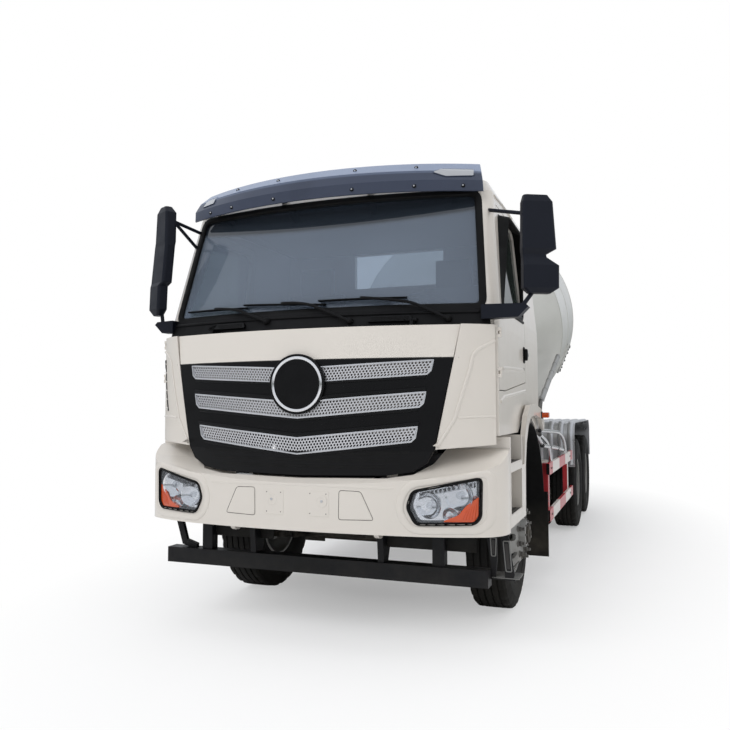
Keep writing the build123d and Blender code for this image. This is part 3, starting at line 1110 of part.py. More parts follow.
with BuildPart() as rear_fender:
    extrude(fender_side(0.0, REAR_FENDER_BOTTOM), amount=GUARD_X - 640.0)
    extrude(fender_side(REAR_FENDER_WALL, REAR_FENDER_BOTTOM - 10.0), amount=GUARD_X - 640.0,
        mode=Mode.SUBTRACT)
    for y in (REAR_FENDER_FRONT + 200.0, BOGIE, REAR_FENDER_BACK - 200.0):
        block((RAIL_OUTER_X + SEAT, 700.0), (y - 25.0, y + 25.0), (1000.0, 1050.0))
        block((660.0, 700.0), (y - 25.0, y + 25.0), (1000.0, REAR_FENDER_TOP - 4.0))
with BuildPart() as rear_fenders:
    add(rear_fender.part)
    add(mirrored(rear_fender.part))
save(rear_fenders.part, "rear_fenders")

# Rear under-run beam with the tail lamps, behind the towing jaw's pin
BEAM_Y = FRAME_REAR + TOW_JAW_REACH + 65.0
with BuildPart() as rear_bumper:
    block((-1160.0, 1160.0), (BEAM_Y, BEAM_Y + 100.0), (520.0, 640.0))
    for sign in (1, -1):
        x = sign * 380.0
        prism([(FRAME_REAR + SEAT, 820.0), (BEAM_Y + 20.0, 560.0), (BEAM_Y + 70.0, 560.0),
            (FRAME_REAR + 60.0, 980.0),
               (FRAME_REAR + SEAT, 980.0)], along(x - 35.0), 70.0)
        x = sign * 940.0
        block((x - 210.0, x + 210.0), (BEAM_Y + 20.0, BEAM_Y + 90.0), (630.0, 790.0))
save(rear_bumper.part, "rear_bumper")

# Drum, turned about its inclined axis. Rows of distance along the axis and radius
DRUM_TILT = radians(DRUM_INCLINE)
DRUM_AXIS = Vector(0, cos(DRUM_TILT), sin(DRUM_TILT))
DRUM_RISE = Vector(0, -sin(DRUM_TILT), cos(DRUM_TILT))
DRUM_CENTRE = Vector(0, DRUM_CENTRE_Y, DRUM_CENTRE_Z)
DRUM_PROFILE = (
    # distance along the axis from the drum's middle, radius
    (-2400.0, 460.0), (-950.0, DRUM_RADIUS), (450.0, DRUM_RADIUS), (2000.0, 800.0), (2750.0, 560.0),
)
DRUM_HEAD_Y = -2480.0
DRUM_HEAD_RADIUS = 300.0
RING_Y = 2010.0
RING_WIDTH = 110.0
RING_RADIUS = 880.0
ROLLER_RADIUS = 130.0
ROLLER_ANGLE = 36.0


def drum_plane():
    """Plane through the drum's axis, with sketch axes along the axis and outwards from it."""
    return Plane(origin=DRUM_CENTRE, x_dir=DRUM_AXIS, z_dir=(1, 0, 0))


def on_drum(distance, x=0.0, rise=0.0):
    """Point given by its distance along the drum's axis, to the left of it and square above it."""
    return DRUM_CENTRE + DRUM_AXIS * distance + DRUM_RISE * rise + Vector(x, 0, 0)


with BuildPart() as drum:
    outside = list(DRUM_PROFILE)
    inside = [(a, r - DRUM_WALL) for a, r in reversed(DRUM_PROFILE)]
    inside[-1] = (inside[-1][0] + DRUM_WALL * 0.4, inside[-1][1])
    with BuildSketch(drum_plane()) as drum_half:
        Polygon((DRUM_HEAD_Y, 0.0), (DRUM_HEAD_Y, DRUM_HEAD_RADIUS), *outside, *inside,
                (DRUM_HEAD_Y + DRUM_WALL, DRUM_HEAD_RADIUS - DRUM_WALL * 0.5),
                (DRUM_HEAD_Y + DRUM_WALL, 0.0), align=None)
        with Locations((RING_Y, 0.0)):
            Rectangle(RING_WIDTH, RING_RADIUS, align=(Align.CENTER, Align.MIN))
        Polygon(*[(a, r - DRUM_WALL * 0.5) for a, r in outside], (outside[-1][0], 0.0),
            (outside[0][0], 0.0),
                align=None, mode=Mode.SUBTRACT)
        Polygon((DRUM_HEAD_Y, 0.0), (DRUM_HEAD_Y, DRUM_HEAD_RADIUS), *outside, *inside,
                (DRUM_HEAD_Y + DRUM_WALL, DRUM_HEAD_RADIUS - DRUM_WALL * 0.5),
                (DRUM_HEAD_Y + DRUM_WALL, 0.0), align=None)
    revolve(drum_half.sketch, axis=Axis(DRUM_CENTRE, DRUM_AXIS))
save(drum.part, "drum")

# Sub-frame with the drum's drive on the front pedestal and its two rollers on the rear one
SUBFRAME_TOP = FRAME_TOP + 90.0
SUBFRAME_FRONT = CAB + 2250.0
SUBFRAME_BACK = FRAME_REAR - 40.0
ring = DRUM_CENTRE + DRUM_AXIS * RING_Y
roller_reach = RING_RADIUS + ROLLER_RADIUS + SEAT
roller_x = roller_reach * sin(radians(ROLLER_ANGLE))
roller_drop = roller_reach * cos(radians(ROLLER_ANGLE))
with BuildPart() as mixer_frame:
    for sign in (1, -1):
        x = sign * (RAIL_OUTER_X - RAIL_FLANGE / 2)
        block((x - 40.0, x + 40.0), (SUBFRAME_FRONT, SUBFRAME_BACK), (FRAME_TOP, SUBFRAME_TOP))
        drive = on_drum(DRUM_HEAD_Y - 200.0)
        near, far = on_drum(DRUM_HEAD_Y - 330.0, rise=-270.0), on_drum(DRUM_HEAD_Y - 60.0, rise=-270.0)
        prism([(drive.Y - 200.0, SUBFRAME_TOP - 5.0), (drive.Y + 420.0, SUBFRAME_TOP - 5.0),
               (far.Y, far.Z), (near.Y, near.Z)], along(x - 30.0), 60.0)
        centre = on_drum(RING_Y, x=sign * roller_x, rise=-roller_drop)
        rod(centre - DRUM_AXIS * 95.0, centre + DRUM_AXIS * 95.0, 30.0 - PIN_FIT)
        prism([(centre.Y - 330.0, SUBFRAME_TOP - 5.0), (centre.Y + 330.0, SUBFRAME_TOP - 5.0),
               (centre.Y + 150.0, centre.Z - 210.0), (centre.Y - 150.0, centre.Z - 210.0)],
                   along(x - 35.0), 70.0)
        block((min(x - 35.0 * sign, sign * (roller_x + 70.0)),
            max(x - 35.0 * sign, sign * (roller_x + 70.0))),
              (centre.Y - 150.0, centre.Y + 150.0), (centre.Z - 270.0, centre.Z - 200.0))
        for gap in (-95.0, 75.0):
            near, far = centre + DRUM_AXIS * gap, centre + DRUM_AXIS * (gap + 20.0)
            corners = [near + DRUM_RISE * 50.0, far + DRUM_RISE * 50.0, far - DRUM_RISE * 240.0,
                near - DRUM_RISE * 240.0]
            prism([(corner.Y, corner.Z) for corner in corners], along(centre.X - 50.0), 100.0)
    rod(on_drum(DRUM_HEAD_Y - 60.0), on_drum(DRUM_HEAD_Y - SEAT), 190.0)
    rod(on_drum(DRUM_HEAD_Y - 330.0), on_drum(DRUM_HEAD_Y - 55.0), 240.0)
    rod(on_drum(DRUM_HEAD_Y - 420.0, rise=60.0), on_drum(DRUM_HEAD_Y - 325.0, rise=60.0), 110.0)
    saddle = [on_drum(DRUM_HEAD_Y - 330.0, rise=-230.0), on_drum(DRUM_HEAD_Y - 60.0, rise=-230.0),
              on_drum(DRUM_HEAD_Y - 60.0, rise=-290.0), on_drum(DRUM_HEAD_Y - 330.0, rise=-290.0)]
    prism([(corner.Y, corner.Z) for corner in saddle], along(-420.0), 840.0)
    rear = on_drum(RING_Y, rise=-roller_drop)
    block((-380.0, 380.0), (rear.Y - 40.0, rear.Y + 40.0), (rear.Z - 270.0, rear.Z - 200.0))
    block((-380.0, 380.0), (SUBFRAME_BACK - 60.0, SUBFRAME_BACK), (FRAME_TOP + 10.0, SUBFRAME_TOP))
save(mixer_frame.part, "mixer_frame")
for side, sign in SIDES:
    centre = on_drum(RING_Y, x=sign * roller_x, rise=-roller_drop)
    with BuildPart() as roller:
        rod(centre - DRUM_AXIS * 68.0, centre + DRUM_AXIS * 68.0, ROLLER_RADIUS)
        rod(centre - DRUM_AXIS * 70.0, centre + DRUM_AXIS * 70.0, 30.0, mode=Mode.SUBTRACT)
    save(roller.part, f"roller_{side}")

# Charge hopper above the drum's mouth and discharge funnel below it
SPOUT_BOTTOM = 3060.0
HOPPER_HEIGHT = 820.0
HOPPER_TOP = SPOUT_BOTTOM + HOPPER_HEIGHT
FUNNEL_TOP = 2960.0
FUNNEL_BOTTOM = 2205.0
PLATE = 10.0


def funnel(rows, inset=0.0, mode=Mode.ADD):
    """Tapered box through rectangles, each a row of middle y, height, width and length."""
    faces = []
    for y, z, width, length in rows:
        with BuildSketch(level(z)) as face:
            with Locations((0.0, MIXER + y)):
                Rectangle(width - 2 * inset, length - 2 * inset)
        faces.append(face.sketch)
    loft(faces, ruled=True, mode=mode)


HOPPER_ROWS = (
    # y from MIXER, z, width, length
    (8250.0, HOPPER_TOP, 1050.0, 900.0), (8000.0, SPOUT_BOTTOM + 420.0, 560.0, 420.0),
    (7700.0, SPOUT_BOTTOM, 340.0, 240.0),
)
FUNNEL_ROWS = ((8150.0, FUNNEL_TOP, 1250.0, 560.0), (8180.0, FUNNEL_BOTTOM, 430.0, 300.0))
with BuildPart() as hopper:
    funnel(HOPPER_ROWS)
    for sign in (1, -1):
        rod((sign * 660.0, MIXER + 7980.0, 2800.0), (sign * 400.0, MIXER + 8180.0, HOPPER_TOP - 180.0),
            28.0)
    funnel(HOPPER_ROWS, inset=PLATE, mode=Mode.SUBTRACT)
    funnel(FUNNEL_ROWS)
    funnel(FUNNEL_ROWS, inset=PLATE, mode=Mode.SUBTRACT)
    block((-560.0, 560.0), (MIXER + 7800.0, MIXER + 8000.0), (2500.0, 3000.0), mode=Mode.SUBTRACT)
    for sign in (1, -1):
        x = sign * 660.0
        rod((sign * 640.0, MIXER + 7980.0, 2815.0), (sign * 590.0, MIXER + 8100.0, 2815.0), 22.0)
        rod((sign * 400.0, SUBFRAME_BACK - 45.0, SUBFRAME_TOP + 12.0), (x, MIXER + 7980.0, 2830.0), 36.0)
        block((sign * 395.0 - 50.0, sign * 395.0 + 50.0), (SUBFRAME_BACK - 95.0, SUBFRAME_BACK - 2.0),
              (SUBFRAME_TOP + SEAT, SUBFRAME_TOP + 22.0))
save(hopper.part, "hopper")

# Ladder and platform on the right of the drum's mouth
with BuildPart() as ladder:
    for x in (-1120.0, -760.0):
        rod((x, FRAME_REAR - 40.0, 560.0), (x, FRAME_REAR - 40.0, 3100.0), 20.0)
    for step in range(9):
        z = 640.0 + step * 230.0
        rod((-1120.0, FRAME_REAR - 40.0, z), (-760.0, FRAME_REAR - 40.0, z), 14.0)
    block((-1160.0, -720.0), (FRAME_REAR - 420.0, FRAME_REAR - 20.0), (2380.0, 2410.0))
    for z in (900.0, 1120.0):
        rod((-760.0, FRAME_REAR - 40.0, z), (-RAIL_OUTER_X - SEAT, FRAME_REAR - 40.0, z), 18.0)
save(ladder.part, "ladder")

# Discharge chute: a swivel post, the tilting chute on it, its folding end and the jack below
CHUTE_POST_Y = MIXER + 8080.0
POST_RADIUS = 50.0
POST_BOTTOM = 1060.0
POST_TOP = 1700.0
SLEEVE_TOP = 1285.0
CHUTE_PIN_Y = MIXER + 8130.0
CHUTE_PIN_Z = 1850.0
CHUTE_PIN_RADIUS = 18.0
CHUTE_SLOPE = radians(20.0)
CHUTE_DOWN = Vector(0, cos(CHUTE_SLOPE), -sin(CHUTE_SLOPE))
CHUTE_UP = Vector(0, sin(CHUTE_SLOPE), cos(CHUTE_SLOPE))
CHUTE_RADIUS = 210.0
CHUTE_WALL = 8.0
CHUTE_RISE = 240.0
CHUTE_HEAD = -150.0
HINGE_AT = 922.0
FOLD_LENGTH = 520.0
REAR_END = FRONT + OVERALL_LENGTH


def on_chute(distance, rise=0.0, x=0.0):
    """Point given by its distance down the chute from its pin and its height square to it."""
    return Vector(x, CHUTE_PIN_Y, CHUTE_PIN_Z) + CHUTE_DOWN * distance + CHUTE_UP * rise


def trough(start, end, radius, upside=1):
    """Half pipe along the chute, open above, or below where upside is -1."""
    plane = Plane(origin=on_chute(start, rise=CHUTE_RISE), x_dir=(1, 0, 0), z_dir=CHUTE_DOWN)
    with BuildSketch(plane) as wall:
        Circle(radius + CHUTE_WALL)
        Circle(radius, mode=Mode.SUBTRACT)
        with Locations((0.0, upside * (-radius - CHUTE_WALL - 3.0))):
            Rectangle(2 * radius + 40.0, 2 * radius + 2 * CHUTE_WALL, mode=Mode.SUBTRACT)
    extrude(wall.sketch, amount=end - start)


JACK_FOOT = Vector(0, MIXER + 8210.0, 1330.0)
JACK_EYE = on_chute(480.0, rise=-15.0)
JACK_AXIS = (JACK_EYE - JACK_FOOT).normalized()
JACK_SPAN = (JACK_EYE - JACK_FOOT).length
JACK_PIN_RADIUS = 12.0
JACK_BARREL_RADIUS = 36.0
JACK_ROD_RADIUS = 20.0
with BuildPart() as chute_bracket:
    rod((0.0, CHUTE_POST_Y, 1110.0), (0.0, CHUTE_POST_Y, SLEEVE_TOP), POST_RADIUS + 32.0)
    for sign in (1, -1):
        prism([(sign * 60.0, CHUTE_POST_Y), (sign * 78.0, CHUTE_POST_Y - 10.0),
            (sign * 300.0, FRAME_REAR + SEAT),
               (sign * 260.0, FRAME_REAR + SEAT)], level(1130.0), 40.0)
    block((-330.0, 330.0), (FRAME_REAR + SEAT, FRAME_REAR + 20.0), (1000.0, 1180.0))
    rod((0.0, CHUTE_POST_Y, 1090.0), (0.0, CHUTE_POST_Y, SLEEVE_TOP + 1.0), POST_RADIUS + PIN_FIT,
        mode=Mode.SUBTRACT)
save(chute_bracket.part, "chute_bracket")
with BuildPart() as chute_swivel:
    rod((0.0, CHUTE_POST_Y, POST_BOTTOM), (0.0, CHUTE_POST_Y, POST_TOP), POST_RADIUS)
    rod((0.0, CHUTE_POST_Y, SLEEVE_TOP + SEAT), (0.0, CHUTE_POST_Y, SLEEVE_TOP + 30.0), POST_RADIUS + 30.0)
    block((-130.0, 130.0), (CHUTE_POST_Y - 45.0, CHUTE_PIN_Y + 35.0), (POST_TOP - 30.0, POST_TOP))
    for sign in (1, -1):
        x = sign * 118.0
        prism([(CHUTE_POST_Y - 45.0, POST_TOP - 30.0), (CHUTE_PIN_Y + 35.0, POST_TOP - 30.0),
               (CHUTE_PIN_Y + 28.0, CHUTE_PIN_Z + 22.0), (CHUTE_PIN_Y - 28.0, CHUTE_PIN_Z + 22.0)],
                   along(x - 12.0), 24.0)
        rod((sign * 130.0, CHUTE_PIN_Y, CHUTE_PIN_Z), (sign * 60.0, CHUTE_PIN_Y, CHUTE_PIN_Z),
            CHUTE_PIN_RADIUS)
        x = sign * 52.0
        prism([(CHUTE_POST_Y, POST_TOP - 290.0), (CHUTE_POST_Y, POST_TOP - 400.0 + 60.0),
               (JACK_FOOT.Y + 30.0, JACK_FOOT.Z - 30.0), (JACK_FOOT.Y + 30.0, JACK_FOOT.Z + 34.0)],
              along(x - 8.0), 16.0)
    rod((-60.0, JACK_FOOT.Y, JACK_FOOT.Z), (60.0, JACK_FOOT.Y, JACK_FOOT.Z), JACK_PIN_RADIUS)
save(chute_swivel.part, "chute_swivel")
with BuildPart() as chute:
    trough(CHUTE_HEAD, 1100.0, CHUTE_RADIUS)
    block((-300.0, 300.0), (REAR_END, REAR_END + 400.0), (1000.0, 2500.0), mode=Mode.SUBTRACT)
    for sign in (1, -1):
        x = sign * 92.0
        with BuildSketch(along(x - 12.0)) as lug:
            corners = [on_chute(-40.0, rise=-10.0), on_chute(40.0, rise=-10.0), on_chute(90.0, rise=70.0),
                       on_chute(-90.0, rise=70.0)]
            Polygon(*[(corner.Y, corner.Z) for corner in corners], align=None)
            with Locations((CHUTE_PIN_Y, CHUTE_PIN_Z)):
                Circle(CHUTE_PIN_RADIUS + 16.0)
                Circle(CHUTE_PIN_RADIUS + PIN_FIT, mode=Mode.SUBTRACT)
        extrude(lug.sketch, amount=24.0)
        with BuildSketch(along(sign * 34.0 - 7.0)) as eye_lug:
            corners = [on_chute(465.0, rise=-20.0), on_chute(495.0, rise=-20.0), on_chute(540.0, rise=30.0),
                       on_chute(420.0, rise=30.0)]
            Polygon(*[(corner.Y, corner.Z) for corner in corners], align=None)
            with Locations((JACK_EYE.Y, JACK_EYE.Z)):
                Circle(JACK_PIN_RADIUS + 12.0)
        extrude(eye_lug.sketch, amount=14.0)
    rod((-40.0, JACK_EYE.Y, JACK_EYE.Z), (40.0, JACK_EYE.Y, JACK_EYE.Z), JACK_PIN_RADIUS)
    for sign in (1, -1):
        pin = on_chute(HINGE_AT, rise=CHUTE_RISE, x=sign * (CHUTE_RADIUS + CHUTE_WALL + 3.0))
        corners = [on_chute(HINGE_AT - 50.0, rise=CHUTE_RISE - 50.0),
            on_chute(HINGE_AT + 8.0, rise=CHUTE_RISE - 50.0),
                   on_chute(HINGE_AT + 12.0, rise=CHUTE_RISE + 14.0),
                   on_chute(HINGE_AT - 14.0, rise=CHUTE_RISE + 14.0)]
        edge = sign * (CHUTE_RADIUS + CHUTE_WALL - 3.0)
        prism([(corner.Y, corner.Z) for corner in corners], along(min(edge, edge + sign * 13.0)), 13.0)
        rod((pin.X, pin.Y, pin.Z), (pin.X + sign * 31.0, pin.Y, pin.Z), 9.0)
save(chute.part, "chute")
with BuildPart() as chute_fold:
    trough(HINGE_AT - FOLD_LENGTH, HINGE_AT - 50.0, CHUTE_RADIUS - 20.0, upside=-1)
    for sign in (1, -1):
        edge = sign * (CHUTE_RADIUS + CHUTE_WALL + 12.0)
        pivot = on_chute(HINGE_AT, rise=CHUTE_RISE)
        with BuildSketch(along(min(edge, edge + sign * 12.0))) as arm:
            corners = [on_chute(HINGE_AT - 105.0, rise=CHUTE_RISE + 12.0),
                on_chute(HINGE_AT, rise=CHUTE_RISE - 14.0),
                       on_chute(HINGE_AT, rise=CHUTE_RISE + 16.0),
                       on_chute(HINGE_AT - 105.0, rise=CHUTE_RISE + 52.0)]
            Polygon(*[(corner.Y, corner.Z) for corner in corners], align=None)
            with Locations((pivot.Y, pivot.Z)):
                Circle(18.0)
                Circle(9.0 + PIN_FIT, mode=Mode.SUBTRACT)
        extrude(arm.sketch, amount=12.0)
        corners = [on_chute(HINGE_AT - 104.0, rise=CHUTE_RISE + 18.0),
            on_chute(HINGE_AT - 62.0, rise=CHUTE_RISE + 18.0),
                   on_chute(HINGE_AT - 62.0, rise=CHUTE_RISE + 36.0),
                   on_chute(HINGE_AT - 104.0, rise=CHUTE_RISE + 36.0)]
        inner = sign * (CHUTE_RADIUS - 20.0)
        prism([(corner.Y, corner.Z) for corner in corners], along(min(inner, edge + sign * 12.0)),
              abs(edge + sign * 12.0 - inner))
save(chute_fold.part, "chute_fold")
with BuildPart() as jack_barrel:
    rod(JACK_FOOT + JACK_AXIS * 20.0, JACK_FOOT + JACK_AXIS * 350.0, JACK_BARREL_RADIUS)
    rod((-30.0, JACK_FOOT.Y, JACK_FOOT.Z), (30.0, JACK_FOOT.Y, JACK_FOOT.Z), 26.0)
    rod((-31.0, JACK_FOOT.Y, JACK_FOOT.Z), (31.0, JACK_FOOT.Y, JACK_FOOT.Z), JACK_PIN_RADIUS + PIN_FIT,
        mode=Mode.SUBTRACT)
    rod(JACK_FOOT + JACK_AXIS * 32.0, JACK_FOOT + JACK_AXIS * 351.0, JACK_ROD_RADIUS + PIN_FIT,
        mode=Mode.SUBTRACT)
save(jack_barrel.part, "jack_barrel")
with BuildPart() as jack_rod:
    rod(JACK_FOOT + JACK_AXIS * 135.0, JACK_EYE - JACK_AXIS * 20.0, JACK_ROD_RADIUS)
    rod((-22.0, JACK_EYE.Y, JACK_EYE.Z), (22.0, JACK_EYE.Y, JACK_EYE.Z), 30.0)
    rod((-23.0, JACK_EYE.Y, JACK_EYE.Z), (23.0, JACK_EYE.Y, JACK_EYE.Z), JACK_PIN_RADIUS + 7.0,
        mode=Mode.SUBTRACT)
save(jack_rod.part, "jack_rod")
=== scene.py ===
import math

import bmesh
import bpy
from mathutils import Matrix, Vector
from mathutils.bvhtree import BVHTree


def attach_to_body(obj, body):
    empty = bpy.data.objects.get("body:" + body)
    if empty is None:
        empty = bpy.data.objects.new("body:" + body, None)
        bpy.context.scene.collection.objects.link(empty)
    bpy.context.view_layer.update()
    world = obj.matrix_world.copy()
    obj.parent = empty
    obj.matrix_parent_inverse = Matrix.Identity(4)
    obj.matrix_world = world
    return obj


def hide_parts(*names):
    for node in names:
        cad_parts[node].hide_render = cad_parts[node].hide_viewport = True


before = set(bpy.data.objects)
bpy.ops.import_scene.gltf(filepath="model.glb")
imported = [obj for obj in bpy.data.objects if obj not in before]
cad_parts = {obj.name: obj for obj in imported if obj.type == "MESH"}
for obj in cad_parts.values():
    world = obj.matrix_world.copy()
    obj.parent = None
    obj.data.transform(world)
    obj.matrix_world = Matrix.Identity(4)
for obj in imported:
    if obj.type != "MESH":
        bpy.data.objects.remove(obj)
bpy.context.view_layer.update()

# Same layout as the solids: metres, stations counted backwards from the bumper's corners
CAB = -4.525
FRONT_AXLE = CAB + 1.400
REAR_AXLES = (("mid", CAB + 5.400), ("rear", CAB + 6.750))
AXLE_Z = 0.540
CAB_HALF = 1.190
SIDES = (("left", 1), ("right", -1))

bpy.context.scene.view_settings.view_transform = "Standard"


# Materials
def fill(node, values):
    """Sets several inputs of a shader node."""
    for name, value in values.items():
        node.inputs[name].default_value = value


def tree_of(name):
    """A new material with its node tree, its principled shader and object coordinates."""
    material = bpy.data.materials.new(name)
    material.use_nodes = True
    nodes, links = material.node_tree.nodes, material.node_tree.links
    shader = nodes["Principled BSDF"]
    coords = nodes.new("ShaderNodeTexCoord")
    return material, nodes, links, shader, coords.outputs["Object"]


def noise(nodes, links, vector, scale, detail=4.0, rough=0.55):
    """Noise texture output at a scale in object space."""
    texture = nodes.new("ShaderNodeTexNoise")
    fill(texture, {"Scale": scale, "Detail": detail, "Roughness": rough})
    links.new(vector, texture.inputs["Vector"])
    return texture.outputs["Fac"]


def ramp(nodes, links, source, low, high, a, b):
    """Value mapped from low..high to a..b."""
    node = nodes.new("ShaderNodeMapRange")
    fill(node, {"From Min": low, "From Max": high, "To Min": a, "To Max": b})
    links.new(source, node.inputs["Value"])
    return node.outputs["Result"]


def mix(nodes, links, factor, a, b):
    """Colour mix; a and b are colours or sockets."""
    node = nodes.new("ShaderNodeMix")
    node.data_type = "RGBA"
    for socket, value in (("A", a), ("B", b)):
        target = [s for s in node.inputs if s.name == socket and s.type == "RGBA"][0]
        if hasattr(value, "is_linked"):
            links.new(value, target)
        else:
            target.default_value = (*value[:3], 1.0)
    factor_in = node.inputs[0]
    if hasattr(factor, "is_linked"):
        links.new(factor, factor_in)
    else:
        factor_in.default_value = factor
    return [s for s in node.outputs if s.type == "RGBA"][0]


def math_node(nodes, links, operation, a, b=None):
    """Math node output of one or two values or sockets."""
    node = nodes.new("ShaderNodeMath")
    node.operation = operation
    for index, value in enumerate((a, b)):
        if value is None:
            continue
        if hasattr(value, "is_linked"):
            links.new(value, node.inputs[index])
        else:
            node.inputs[index].default_value = value
    return node.outputs[0]


def bump(nodes, links, shader, height, strength, distance):
    """Bump from a height output into a shader's normal."""
    node = nodes.new("ShaderNodeBump")
    fill(node, {"Strength": strength, "Distance": distance})
    links.new(height, node.inputs["Height"])
    links.new(node.outputs["Normal"], shader.inputs["Normal"])


def split(nodes, links, vector):
    """X, Y and Z of a vector."""
    node = nodes.new("ShaderNodeSeparateXYZ")
    links.new(vector, node.inputs[0])
    return node.outputs


def surface(name, color, rough=0.5, metal=0.0, coat=0.0, specular=0.5, vary=0.04, grain=60.0,
            grain_strength=0.1, grain_depth=0.001, dust=0.0, dust_top=1.1, dust_color=(0.30, 0.26, 0.20)):
    """Opaque surface with colour variation, uneven gloss, fine grain and dust towards the ground."""
    material, nodes, links, shader, vector = tree_of(name)
    cloud = noise(nodes, links, vector, 1.3, 5.0)
    dark = tuple(c * (1.0 - 2 * vary) for c in color)
    light = tuple(min(1.0, c * (1.0 + vary)) for c in color)
    base = mix(nodes, links, ramp(nodes, links, cloud, 0.3, 0.7, 0.0, 1.0), dark, light)
    if dust:
        height = split(nodes, links, vector)["Z"]
        fall = ramp(nodes, links, height, 0.1, dust_top, dust, 0.0)
        patches = ramp(nodes, links, noise(nodes, links, vector, 5.0, 8.0, 0.7), 0.35, 0.7, 0.15, 1.0)
        base = mix(nodes, links, math_node(nodes, links, "MULTIPLY", fall, patches), base, dust_color)
    links.new(base, shader.inputs["Base Color"])
    gloss = ramp(nodes, links, noise(nodes, links, vector, 9.0, 6.0), 0.3, 0.7, rough * 0.85,
                 min(1.0, rough * 1.2))
    links.new(gloss, shader.inputs["Roughness"])
    fill(shader, {"Metallic": metal, "Specular IOR Level": specular, "Coat Weight": coat,
                  "Coat Roughness": 0.06})
    bump(nodes, links, shader, noise(nodes, links, vector, grain, 3.0), grain_strength, grain_depth)
    return material


IVORY = (0.665, 0.620, 0.560)
cab_paint = surface("cab_paint", IVORY, 0.34, coat=0.55, vary=0.012, grain=220.0, grain_strength=0.05,
                    dust=0.25, dust_top=0.9)
drum_paint = surface("drum_paint", (0.50, 0.50, 0.465), 0.36, coat=0.4, vary=0.05, grain=35.0,
                     grain_strength=0.12, grain_depth=0.002)
mixer_paint = surface("mixer_paint", (0.56, 0.54, 0.48), 0.42, coat=0.25, vary=0.06, grain=70.0, dust=0.35,
                      dust_top=2.2)
black_gloss = surface("black_gloss", (0.0035, 0.0035, 0.004), 0.34, specular=0.16, vary=0.1, grain=160.0,
                      grain_strength=0.05)
black_satin = surface("black_satin", (0.006, 0.006, 0.0065), 0.52, specular=0.14, vary=0.15, grain=420.0,
                      grain_strength=0.25, grain_depth=0.0006)
mirror_shell = surface("mirror_shell", (0.007, 0.0085, 0.014), 0.42, specular=0.18, vary=0.12, grain=520.0,
                       grain_strength=0.2, grain_depth=0.0005)
chassis_paint = surface("chassis_paint", (0.005, 0.005, 0.006), 0.55, specular=0.14, vary=0.2, grain=55.0,
                        grain_strength=0.2, dust=0.35, dust_top=1.0)
bar_paint = surface("bar_paint", (0.005, 0.0055, 0.007), 0.42, specular=0.18, vary=0.15, grain=180.0,
                    dust=0.08, dust_top=0.8)
iron = surface("iron", (0.022, 0.021, 0.020), 0.6, metal=0.35, specular=0.3, vary=0.25, grain=90.0,
               grain_strength=0.3, dust=0.5, dust_top=1.0)
rim_metal = surface("rim_metal", (0.30, 0.30, 0.29), 0.42, metal=0.55, vary=0.08, grain=140.0, dust=0.45,
                    dust_top=0.9)
nut_metal = surface("nut_metal", (0.16, 0.155, 0.145), 0.42, metal=0.8, vary=0.15, grain=240.0, dust=0.25)
aluminium = surface("aluminium", (0.56, 0.565, 0.58), 0.30, metal=0.9, vary=0.05, grain=260.0,
                    grain_strength=0.12)
stainless = surface("stainless", (0.62, 0.62, 0.63), 0.16, metal=1.0, vary=0.03, grain=300.0,
                    grain_strength=0.03)
chrome = surface("chrome", (0.78, 0.78, 0.79), 0.07, metal=1.0, vary=0.02, grain=300.0, grain_strength=0.02)
mesh_metal = surface("mesh_metal", (0.62, 0.62, 0.64), 0.34, metal=0.55, vary=0.03, grain=400.0,
                     grain_strength=0.05)
flap_rubber = surface("flap_rubber", (0.004, 0.004, 0.004), 0.62, specular=0.2, vary=0.2, grain=130.0,
                      grain_strength=0.25, dust=0.3, dust_top=0.7)
gasket = surface("gasket", (0.004, 0.004, 0.004), 0.6, specular=0.2, vary=0.1, grain=300.0)
bracket_grey = surface("bracket_grey", (0.17, 0.17, 0.165), 0.45, metal=0.5, vary=0.12, grain=120.0,
                       grain_strength=0.25, dust=0.2)
red_paint = surface("red_paint", (0.42, 0.012, 0.020), 0.35, coat=0.3, vary=0.08, grain=120.0, dust=0.15)
white_paint = surface("white_paint", (0.66, 0.62, 0.58), 0.36, coat=0.3, vary=0.04, grain=120.0, dust=0.15)
fabric = surface("fabric", (0.020, 0.021, 0.024), 0.85, vary=0.1, grain=700.0, grain_strength=0.4)
line_dark = surface("line_dark", (0.030, 0.028, 0.026), 0.7, vary=0.1, grain=200.0)


def mix_value(nodes, links, share, first, second):
    """Number between a socket and a fixed value."""
    node = nodes.new("ShaderNodeMix")
    links.new(share, node.inputs[0])
    links.new(first, node.inputs[2])
    node.inputs[3].default_value = second
    return node.outputs[0]


